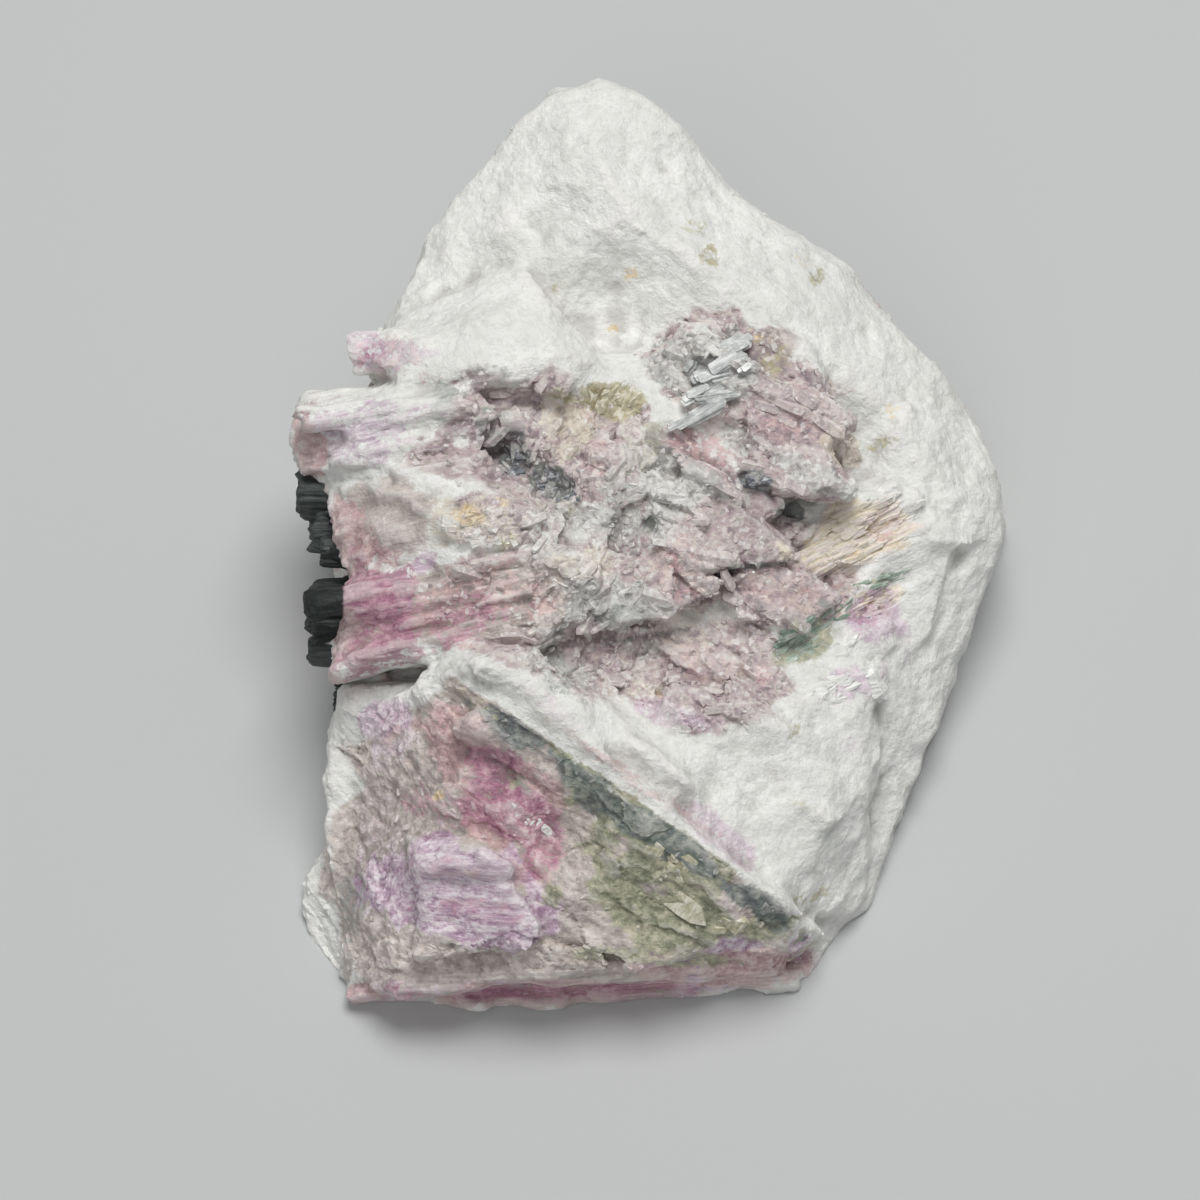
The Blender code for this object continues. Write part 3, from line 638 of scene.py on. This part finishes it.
class Crystals:
    """Many small crystals gathered into one mesh, with a number for each."""

    def __init__(self, name, seed):
        self.name = name
        self.chance = random.Random(seed)
        self.points = []
        self.faces = []
        self.numbers = []

    def add_rings(self, rings, number):
        """Adds a closed body through these rings of points."""
        start = len(self.points)
        count = len(rings[0])
        for ring in rings:
            self.points.extend(ring)
        for step in range(len(rings) - 1):
            low = start + step * count
            for corner in range(count):
                after = (corner + 1) % count
                self.faces.append((low + corner, low + after, low + count + after, low + count + corner))
        self.faces.append(tuple(range(start + count - 1, start - 1, -1)))
        last = start + (len(rings) - 1) * count
        self.faces.append(tuple(range(last, last + count)))
        self.numbers.extend([number] * (count * len(rings)))

    def add_prism(self, middle, axes, length, width, height, sides=5):
        """Adds a prism that lies along the first axis, broken askew at both ends."""
        chance = self.chance
        angles = [(corner + chance.uniform(-0.3, 0.3)) * math.tau / sides for corner in range(sides)]
        rings = []
        ends = ((-0.5, 0.55), (-0.38, 0.95), (chance.uniform(-0.1, 0.2), 1.0), (0.36, 0.9), (0.5, 0.35))
        for share, scale in ends:
            lean = chance.uniform(-0.1, 0.1)
            ring = []
            for angle in angles:
                side = math.cos(angle) * width * 0.5 * scale
                up = math.sin(angle) * height * 0.5 * scale
                along = length * (share + lean * math.cos(angle))
                ring.append(middle + axes @ Vector((along, side, up)) * MM)
            rings.append(ring)
        self.add_rings(rings, chance.random())

    def add_plate(self, middle, axes, length, width, thickness):
        """Adds a thin blunt plate that lies along the first axis."""
        half = length * 0.5
        beside = width * 0.5
        point = min(width * self.chance.uniform(0.2, 0.6), half * 0.6)
        outline = ((-half, -beside * 0.6), (-half + point * 0.5, -beside), (half - point, -beside),
                   (half, -beside * self.chance.uniform(0.0, 0.6)), (half - point * 0.4, beside),
                   (-half + point * 0.3, beside))
        rings = []
        for height in (-thickness * 0.5, thickness * 0.5):
            rings.append([middle + axes @ Vector((x, y, height)) * MM for x, y in outline])
        self.add_rings(rings, self.chance.random())

    def finish(self, material, painted=False):
        """Makes the object. Painted crystals also store what the skin's material reads."""
        mesh = bpy.data.meshes.new(self.name)
        mesh.from_pydata([tuple(point) for point in self.points], [], self.faces)
        mesh.update()
        item = new_object(self.name, mesh)
        keep_in_box(item)
        mesh.materials.append(material)
        numbers = np.array(self.numbers)
        add_numbers(mesh, "number", numbers)
        if painted:
            paint(item, np.zeros(len(numbers)), numbers)
        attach(item, "root")


# Books of bright plates: x, y, length, width, angle
BOOKS = (
    (12.3, 22.9, 4.4, 2.2, 36), (11, 21.2, 4.6, 1.6, 35), (9.4, 20, 5, 1.7, 33), (9.9, 18.7, 6.2, 1.7, 32),
    (10.2, 17.4, 6.4, 1.9, 34), (9.2, 16.1, 6.2, 1.8, 31), (7.4, 15.2, 4.8, 1.4, 29),
    (7.6, 20.8, 2.2, 1.1, 44), (13.4, 20.6, 1.8, 0.9, 38), (10.6, 19.5, 3, 1.2, 30),
    (8.2, 17.6, 3.4, 1.2, 36),
)

# How many plates a book has, how thick each is, and how far the book's middle stands over the rock
PLATES = 4
PLATE = 0.14
PLATE_LIFT = 0.3

# Bundles of slender crystals: x, y, half length, half width and angle of the patch, then how many
# there are, the length and width of each, and how far their directions stray
GREEN_NEEDLES = (
    (18.9, -9, 2.4, 1.6, 34, 36, 2.6, 0.75, 8), (22.6, -6.2, 2.2, 0.8, 34, 10, 2.2, 0.5, 8),
    (27.8, -2.2, 3, 0.7, 14, 18, 2.6, 0.5, 5),
)
OLIVE_CRYSTALS = (
    (-0.6, 17.2, 3.6, 1.2, 0, 20, 1.9, 1.2, 40), (-13, 1.8, 1.2, 0.6, 30, 6, 0.9, 0.7, 40),
    (6, -36.6, 0.1, 0.1, -37, 1, 7.6, 3.4, 1), (6.2, -32.6, 3, 1.2, -35, 9, 2.2, 1.4, 30),
    (11, -39, 2.4, 0.8, -20, 5, 2.4, 1.4, 16),
)
BAND_FIBRES = (
    (25.2, 2.6, 6.2, 3, 26, 90, 4.6, 0.8, 4), (27, -4.6, 3, 1.2, 18, 20, 3, 0.6, 4),
)
DARK_GRAINS = (
    (-11.4, 10.4, 1.5, 1.2, 20, 12, 1.1, 0.9, 60), (-7, 8, 2.8, 1.3, -25, 20, 1, 0.8, 60),
    # The bundle at 14.5, 8.5 lies in the pocket and darkens it as painted shade.
    (14.5, 8.5, 1.8, 0.9, -5, 10, 1.6, 0.7, 20),
)
KNOB_GRAINS = ((-14.0, 3.6, 5.4, 2.3, -8, 90, 1.2, 1.1, 60),)
WHITE_CRYSTALS = (
    (22.4, -14.2, 3, 1.3, 24, 22, 2.8, 1, 12), (24, -9.2, 1.5, 0.9, 40, 8, 2, 0.9, 12),
    (28.8, 8.2, 1.1, 0.8, 20, 6, 1.1, 0.8, 40), (27.6, -12.6, 1.6, 0.6, -58, 4, 4.4, 2.6, 8),
    (-7.8, -29, 0.1, 0.1, -42, 1, 3.2, 1.8, 1), (-10, -27, 2, 1.4, -50, 7, 0.8, 0.6, 50),
)

# Each kind of crystal: its piece, the name, tones, angle of lines, dullness and polish of its material,
# its bundles, and the seed of its random numbers. The books have a function of their own.
CRYSTALS = (
    ("mica_blades",
     ("mica_plates", ((160, 164, 163), (202, 205, 203), (243, 244, 243)), 33, 0.26, 0.5), None, 24),
    ("white_crystals",
     ("albite_flakes", ((208, 208, 204), (230, 230, 227), (246, 246, 244)), 12, 0.3, 0.3),
     WHITE_CRYSTALS, 31),
    ("green_needles",
     ("green_tourmaline", ((112, 136, 122), (152, 170, 155), (204, 210, 200)), 34, 0.35, 0.2),
     GREEN_NEEDLES, 27),
    ("olive_crystals",
     ("olive_crystals", ((150, 146, 118), (190, 186, 158), (224, 221, 205)), 58, 0.3, 0.3),
     OLIVE_CRYSTALS, 28),
    ("dark_grains",
     ("dark_grains", ((84, 88, 98), (128, 132, 139), (188, 191, 194)), 20, 0.2, 0.4), DARK_GRAINS, 29),
)
# The same for the black prisms' material
BLACK = ("black_tourmaline", ((28, 32, 32), (44, 50, 49), (74, 80, 78)), 0, 0.4)


def add_bundles(net, name, bundles, seed, material, painted=False):
    """Slender crystals side by side, half sunk in the rock."""
    crystals = Crystals(name, seed)
    chance = crystals.chance
    for x, y, half_length, half_width, angle, count, length, width, stray in bundles:
        turn = math.radians(angle)
        for _ in range(count):
            spread = math.sqrt(chance.random())
            around = chance.uniform(0.0, math.tau)
            along = half_length * spread * math.cos(around)
            across = half_width * spread * math.sin(around)
            place, normal = seen_at(net, x + along * math.cos(turn) - across * math.sin(turn),
                                    y + along * math.sin(turn) + across * math.cos(turn))
            if place is None:
                continue
            axes = laid_along((normal + OUTWARD).normalized(), angle + chance.gauss(0, stray))
            thick = width * chance.uniform(0.7, 1.4)
            crystals.add_prism(place - normal * thick * 0.27 * MM, axes, length * chance.uniform(0.6, 1.2),
                               thick, thick * 0.8)
    crystals.finish(material, painted)


def add_books(net, name, seed, material):
    """Stacks of thin mica plates, each book tilted a little on the rock."""
    crystals = Crystals(name, seed)
    chance = crystals.chance
    for x, y, length, width, angle in BOOKS:
        place, normal = seen_at(net, x, y)
        upright = (normal * 1.5 + OUTWARD).normalized()
        axes = laid_along(upright, angle) @ Matrix.Rotation(math.radians(chance.uniform(-14, -3)), 3, "X")
        for step in range(PLATES):
            along = chance.uniform(-0.10, 0.10) * length
            across = chance.uniform(-0.25, 0.25) * width
            shift = Vector((along, across, PLATE_LIFT + (step - PLATES / 2) * PLATE * 1.4))
            askew = axes @ Matrix.Rotation(math.radians(chance.gauss(0, 2)), 3, "Z")
            crystals.add_plate(place + axes @ shift * MM, askew, length * chance.uniform(0.6, 1.0),
                               width * chance.uniform(0.4, 0.9), PLATE)
    crystals.finish(material)


def add_shards(net, material):
    """Longer crystals that radiate from the middle of the mass."""
    crystals = Crystals("shards", 21)
    chance = crystals.chance
    wanted = SHARDS
    while wanted:
        x = chance.uniform(-17.0, 25.0)
        y = chance.uniform(-16.0, 25.0)
        hit, normal = seen_at(net, x, y)
        if hit is None:
            continue
        spot = np.array([tuple(hit)]) / MM
        strength = patches(spot, np.zeros(1), "mica")[0]
        wanted -= 1
        if strength < 0.5:
            continue
        angle = FAN_LEFT + chance.gauss(0, 20) if x < FAN_MIDDLE else FAN_RIGHT + chance.gauss(0, 18)
        if y < -9 or (x < -4 and y < 1):
            angle = FIBRES["columns"][0] + chance.gauss(0, 30)
        length = chance.uniform(1.4, 3.8)
        width = length * chance.uniform(0.3, 0.6)
        axes = laid_along((normal + OUTWARD * 0.5).normalized(), angle)
        axes = axes @ Matrix.Rotation(chance.uniform(-0.25, 0.25), 3, "Y")
        crystals.add_prism(hit - normal * width * 0.22 * MM, axes, length, width, width * 0.8)
    crystals.finish(material, painted=True)


def add_grains(skin, away, material):
    """Small angular grains, half sunk in the skin where the rock breaks into grains."""
    crystals = Crystals("grains", 22)
    chance = crystals.chance
    place, normal = mesh_arrays(skin.data)
    where = regions(place)
    share = patches(place, away, "mica") * 0.9 + where["triangle"] * (1.0 - where["block"]) * 0.12 + 0.002
    share = np.maximum(share, patches(place, away, "cream") * 0.9)
    x, y, _ = from_face(place)
    share *= (1.0 - 0.65 * where["columns"]) * (1.0 - 0.7 * on_blades(x, y))
    share[place[:, 2] < 1.0] = 0.0
    picked = np.random.default_rng(7).choice(len(place), GRAINS, replace=False, p=share / share.sum())
    for index in picked:
        upright = Vector(normal[index])
        axes = laid_along(upright, chance.uniform(0, 180))
        axes = axes @ Matrix.Rotation(chance.uniform(-0.6, 0.6), 3, "Y")
        size = chance.uniform(0.3, 0.62) + 0.4 * chance.random() ** 3
        middle = Vector(place[index]) * MM - upright * size * 0.12 * MM
        crystals.add_prism(middle, axes, size * chance.uniform(0.9, 1.7), size, size * 0.7, 4)
    crystals.finish(material, painted=True)


def add_black_prisms(material):
    """Broken ends of ribbed black prisms that run into the rock."""
    crystals = Crystals("black_prisms", 23)
    corners = 80
    turns = np.arange(corners) * math.tau / corners
    for index, (end, up, front, radius) in enumerate(BLACK_PRISMS):
        place = np.stack([np.cos(turns), np.sin(turns), np.full(corners, index * 7.0)], axis=1)
        ribs = 1.0 + 0.02 * np.sin(turns * 20) + 0.09 * fractal(place, 0.5, 61, 3)
        ribs += 0.1 * np.cos(turns * 3 + index * 2.0) + 0.03 * np.sin(turns * 7 + index)
        chipped = 0.8 * fractal(place, 0.9, 62, 3)
        rings = []
        for behind, scale, chip in ((7.0, 1.1, 0.0), (3.5, 1.08, 0.1), (1.2, 1.05, 0.5), (0.3, 1.0, 0.9),
                                    (-0.1, 0.88, 0.9), (0.2, 0.5, 0.3), (0.1, 0.12, 0.0)):
            ring = []
            for turn, size, along in zip(turns, ribs * scale * radius, end + behind + chipped * chip):
                ring.append(on_face(along, up + size * math.sin(turn), front + size * math.cos(turn)))
            rings.append(ring)
        crystals.add_rings(rings, crystals.chance.random())
    crystals.finish(material)


# Materials

# How far the fine striations are drawn out
LINE_STRETCH = 12.0


def colour(red, green, blue):
    """The linear colour of a colour written as on a screen, from 0 to 255."""
    parts = [value / 255.0 for value in (red, green, blue)]
    linear = [part / 12.92 if part <= 0.04045 else ((part + 0.055) / 1.055) ** 2.4 for part in parts]
    return (*linear, 1.0)


def node(tree, kind, inputs=None, **settings):
    """Adds a node with these settings, and sets or links its inputs."""
    made = tree.nodes.new(kind)
    for name, value in settings.items():
        setattr(made, name, value)
    for socket, value in (inputs or {}).items():
        if isinstance(value, bpy.types.NodeSocket):
            tree.links.new(value, made.inputs[socket])
        else:
            made.inputs[socket].default_value = value
    return made


def maths(tree, operation, first, second=0.0):
    return node(tree, "ShaderNodeMath", {0: first, 1: second}, operation=operation).outputs[0]


def ramp(tree, value, low, high, start=0.0, end=1.0):
    """A soft step of the value from low to high."""
    made = node(tree, "ShaderNodeMapRange",
                {"Value": value, "From Min": low, "From Max": high, "To Min": start, "To Max": end},
                interpolation_type="SMOOTHSTEP")
    return made.outputs["Result"]


def blend(tree, share, first, second, kind="MIX"):
    """One colour laid over another."""
    made = node(tree, "ShaderNodeMix", {0: share, 6: first, 7: second}, data_type="RGBA", blend_type=kind)
    return made.outputs[2]


def shader_noise(tree, place, size, detail=3.0, roughness=0.6):
    """Noise with lumps of this size in millimetres."""
    made = node(tree, "ShaderNodeTexNoise",
                {"Vector": place, "Scale": 1.0 / (size * MM), "Detail": detail, "Roughness": roughness})
    return made.outputs["Fac"]


def turned_place(tree, angle):
    """Coordinates squeezed along a direction that crosses the face at this angle, for striations."""
    place = node(tree, "ShaderNodeTexCoord").outputs["Object"]
    level = node(tree, "ShaderNodeMapping", {"Vector": place, "Rotation": (-FACE_LEAN, 0.0, 0.0)})
    turn = node(tree, "ShaderNodeMapping",
                {"Vector": level.outputs[0], "Rotation": (0.0, 0.0, -math.radians(angle))})
    squeeze = node(tree, "ShaderNodeMapping",
                   {"Vector": turn.outputs[0], "Scale": (1.0 / LINE_STRETCH, 1.0, 1.0)})
    return squeeze.outputs[0]


def new_material(name):
    made = bpy.data.materials.new(name)
    made.use_nodes = True
    tree = made.node_tree
    return made, tree, tree.nodes["Principled BSDF"]


def attribute(tree, name):
    return node(tree, "ShaderNodeAttribute", attribute_name=name).outputs["Fac"]


def tones(tree, value, colours):
    """The colour at this value from 0 to 1 on a scale from the first colour to the last."""
    made = node(tree, "ShaderNodeValToRGB", {"Fac": value})
    stops = made.color_ramp.elements
    for index, tone in enumerate(colours):
        place = 0.08 + 0.84 * index / (len(colours) - 1)
        stop = stops[index] if index < 2 else stops.new(place)
        stop.position = place
        stop.color = colour(*tone)
    return made.outputs["Color"]


def weighed(tree, *parts):
    """The sum of values, each times its weight."""
    total = 0.0
    for value, weight in parts:
        added = node(tree, "ShaderNodeMath", {0: value, 1: weight, 2: total}, operation="MULTIPLY_ADD")
        total = added.outputs[0]
    return total


def lay_mineral(tree, stone, name, values):
    """Lays a mineral's tones over the stone's colour where its own mask says that it shows."""
    colours, grain_share, streak_share, ragged, cover = LOOKS[name]
    rest = 1.0 - grain_share - streak_share
    depth = weighed(tree, (values["grain"], grain_share * 1.3), (values["streak"], streak_share * 0.4),
                    (values["lines"], streak_share * 0.9), (values["mottle"], rest * 1.3),
                    (values["sugar"], 0.2), (values["fine"], 0.2))
    depth = maths(tree, "SUBTRACT", depth, 0.35)
    wander = weighed(tree, (values["mottle"], ragged * 0.35), (values["streak"], ragged * 0.2),
                     (values["sugar"], ragged * 0.2), (values["fine"], ragged * 0.25))
    edge = maths(tree, "SUBTRACT", maths(tree, "ADD", attribute(tree, name), wander), ragged * 0.5)
    near = ramp(tree, attribute(tree, name), 0.0, 0.2)
    share = maths(tree, "MULTIPLY", ramp(tree, edge, 0.2, 0.75, 0.0, cover), near)
    return blend(tree, share, stone, tones(tree, depth, colours))


def line_values(tree, mottle):
    """Fine striations that run as each part of the face does, and plain mottling elsewhere."""
    lines = mottle
    for part in STRIATED:
        place = turned_place(tree, FIBRES[part][0])
        along = ramp(tree, shader_noise(tree, place, 0.45, 3.0), 0.32, 0.68)
        chosen = node(tree, "ShaderNodeMix", {0: attribute(tree, "part_" + part), 2: lines, 3: along},
                      data_type="FLOAT")
        lines = chosen.outputs[0]
    return lines


def stone_material():
    """White albite, and over it the tones of each mineral where it shows."""
    made, tree, surface = new_material("stone_skin")
    place = node(tree, "ShaderNodeTexCoord").outputs["Object"]
    broad = shader_noise(tree, place, 9.0)
    middle = shader_noise(tree, place, 2.2, 4.0)
    fine = ramp(tree, shader_noise(tree, place, 0.45, 4.0, 0.7), 0.32, 0.68)
    mottle = ramp(tree, shader_noise(tree, place, 1.1, 4.0, 0.65), 0.3, 0.7)
    hollow = attribute(tree, "hollow")
    # three random numbers for each crumb of half a millimetre
    crumbs = node(tree, "ShaderNodeTexVoronoi", {"Vector": place, "Scale": 1.0 / (0.5 * MM)})
    crumb = node(tree, "ShaderNodeSeparateColor", {"Color": crumbs.outputs["Color"]}).outputs
    values = {"grain": attribute(tree, "grain"), "streak": attribute(tree, "streak"), "sugar": crumb[0],
              "fine": fine, "mottle": mottle, "lines": line_values(tree, mottle)}

    # white albite, grain by grain a little greyer
    stone = blend(tree, ramp(tree, broad, 0.35, 0.65), colour(243, 243, 240), colour(233, 234, 230))
    stone = blend(tree, ramp(tree, middle, 0.50, 0.75, 0.0, 0.5), stone, colour(220, 222, 216))
    stone = blend(tree, ramp(tree, crumb[1], 0.4, 0.0, 0.0, 0.4), stone, colour(214, 215, 208))
    stone = blend(tree, ramp(tree, fine, 0.7, 1.0, 0.0, 0.4), stone, colour(208, 208, 200))
    for name in MINERALS:
        stone = lay_mineral(tree, stone, name, values)

    # single crumbs darker or brighter than the rest, where the rock is grainy; the bright crumbs are partly
    # white grains and partly painted glints
    grainy = ramp(tree, attribute(tree, "mica"), 0.2, 0.6)
    speckled = maths(tree, "MULTIPLY", ramp(tree, crumb[2], 0.16, 0.0), maths(tree, "MULTIPLY", grainy, 0.45))
    stone = blend(tree, speckled, stone, colour(112, 104, 108))
    white_crumbs_and_glints = maths(tree, "MULTIPLY", ramp(tree, crumb[2], 0.84, 0.96), maths(tree, "MULTIPLY", grainy, 0.6))
    stone = blend(tree, white_crumbs_and_glints, stone, colour(240, 238, 236))

    # hollows are darkened as painted shade and dust, and convex edges are painted paler
    stone = blend(tree, ramp(tree, hollow, 0.10, 0.9, 0.0, 0.4), stone, colour(128, 118, 112))
    stone = blend(tree, ramp(tree, hollow, -0.6, -0.08, 0.3, 0.0), stone, colour(236, 232, 229))
    stone = lay_mineral(tree, stone, "black", values)
    tree.links.new(stone, surface.inputs["Base Color"])

    sparkle = maths(tree, "MULTIPLY", ramp(tree, crumb[1], 0.84, 0.9), grainy)
    dull = ramp(tree, middle, 0.3, 0.7, 0.62, 0.82)
    dull = maths(tree, "SUBTRACT", dull, maths(tree, "MULTIPLY", sparkle, 0.4))
    tree.links.new(dull, surface.inputs["Roughness"])
    surface.inputs["Specular IOR Level"].default_value = 0.4
    bump_height = weighed(tree, (fine, 0.4), (values["lines"], 0.3), (crumb[0], 0.3))
    bump = node(tree, "ShaderNodeBump", {"Strength": 0.6, "Distance": 0.28 * MM, "Height": bump_height})
    tree.links.new(bump.outputs["Normal"], surface.inputs["Normal"])
    return made


def crystal_material(name, colours, angle, dull, polish=0.0):
    """Crystals of one mineral: each has a tone of its own, lines along it and cloudy spots."""
    made, tree, surface = new_material(name)
    place = node(tree, "ShaderNodeTexCoord").outputs["Object"]
    lines = ramp(tree, shader_noise(tree, turned_place(tree, angle), 0.35, 3.0), 0.35, 0.65)
    cloud = ramp(tree, shader_noise(tree, place, 0.9, 4.0), 0.3, 0.7)
    depth = weighed(tree, (attribute(tree, "number"), 0.35), (lines, 0.4), (cloud, 0.35))
    tree.links.new(tones(tree, depth, colours), surface.inputs["Base Color"])
    tree.links.new(ramp(tree, cloud, 0.0, 1.0, dull, dull + 0.25), surface.inputs["Roughness"])
    surface.inputs["Coat Weight"].default_value = polish
    surface.inputs["Coat Roughness"].default_value = 0.15
    bump = node(tree, "ShaderNodeBump", {"Strength": 0.5, "Distance": 0.15 * MM, "Height": lines})
    tree.links.new(bump.outputs["Normal"], surface.inputs["Normal"])
    return made


def floor_material():
    made, tree, surface = new_material("pale_floor")
    surface.inputs["Base Color"].default_value = colour(192, 194, 194)
    surface.inputs["Roughness"].default_value = 0.8
    return made


# The scene

def shade(skin):
    """Flat faces for the grainy rock, and smooth shading where it is striated."""
    mesh = skin.data
    place, _ = mesh_arrays(mesh)
    corners = np.empty(len(mesh.loops), dtype=np.int64)
    mesh.loops.foreach_get("vertex_index", corners)
    starts = np.empty(len(mesh.polygons), dtype=np.int64)
    mesh.polygons.foreach_get("loop_start", starts)
    where = regions(place)
    striated = sum(where[part] for part in STRIATED)
    mesh.polygons.foreach_set("use_smooth", striated[corners[starts]] > 0.5)


def build_specimen():
    skin = skin_from_solid()
    give_relief(skin)
    thin_out(skin)
    keep_in_box(skin)
    place, normal = mesh_arrays(skin.data)
    away = facing_away(normal, edges_of(skin.data))
    paint(skin, away)
    shade(skin)
    stone = stone_material()
    skin.data.materials.clear()
    skin.data.materials.append(stone)
    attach(skin, "root")
    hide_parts(NODE)
    net = net_of(skin)
    add_shards(net, stone)
    add_grains(skin, away, stone)
    add_bundles(net, "band_fibres", BAND_FIBRES, 26, stone, painted=True)
    add_bundles(net, "knob_grains", KNOB_GRAINS, 30, stone, painted=True)
    for piece, finish, bundles, seed in CRYSTALS:
        material = crystal_material(*finish)
        if bundles is None:
            add_books(net, piece, seed, material)
        else:
            add_bundles(net, piece, bundles, seed, material)
    add_black_prisms(crystal_material(*BLACK))


def add_floor():
    mesh = bpy.data.meshes.new("floor")
    half = 1.5
    corners = [(-half, -half, 0.0), (half, -half, 0.0), (half, half, 0.0), (-half, half, 0.0)]
    mesh.from_pydata(corners, [], [(0, 1, 2, 3)])
    mesh.materials.append(floor_material())
    floor = new_object("floor", mesh)


def add_camera():
    lens = bpy.data.cameras.new("camera")
    lens.sensor_width = SENSOR
    lens.lens = SENSOR * EYE_DISTANCE / VIEW_WIDTH
    lens.clip_start = 0.01
    camera = new_object("camera", lens)
    camera.location = on_face(EYE_X, EYE_Y, 0.0) + OUTWARD * EYE_DISTANCE * MM
    camera.rotation_euler = (-OUTWARD).to_track_quat("-Z", "Y").to_euler()
    bpy.context.scene.camera = camera


# The lamps: name, place and size in metres, power in watts and tint. The room adds a faint light.
LIGHTS = (
    ("overhead", (0.06, 0.17, 0.84), 0.5, 5.45, (1.0, 0.995, 0.98)),
    ("fill", (-0.25, -0.60, 0.75), 0.8, 1.5, (0.98, 0.99, 1.0)),
)
ROOM_LIGHT = 0.24


def add_light(name, place, size, power, tint):
    lamp = bpy.data.lights.new(name, "AREA")
    lamp.shape = "DISK"
    lamp.size = size
    lamp.energy = power
    lamp.color = tint
    light = new_object(name, lamp)
    light.location = place
    light.rotation_euler = (Vector((0.0, 0.0, 0.02)) - Vector(place)).to_track_quat("-Z", "Y").to_euler()


def add_lights():
    for light in LIGHTS:
        add_light(*light)
    world = bpy.data.worlds.new("soft_room")
    world.use_nodes = True
    sky = world.node_tree.nodes["Background"]
    sky.inputs["Color"].default_value = (0.98, 0.99, 1.0, 1.0)
    sky.inputs["Strength"].default_value = ROOM_LIGHT
    bpy.context.scene.world = world
    bpy.context.scene.view_settings.view_transform = "Standard"


build_specimen()
add_floor()
add_camera()
add_lights()
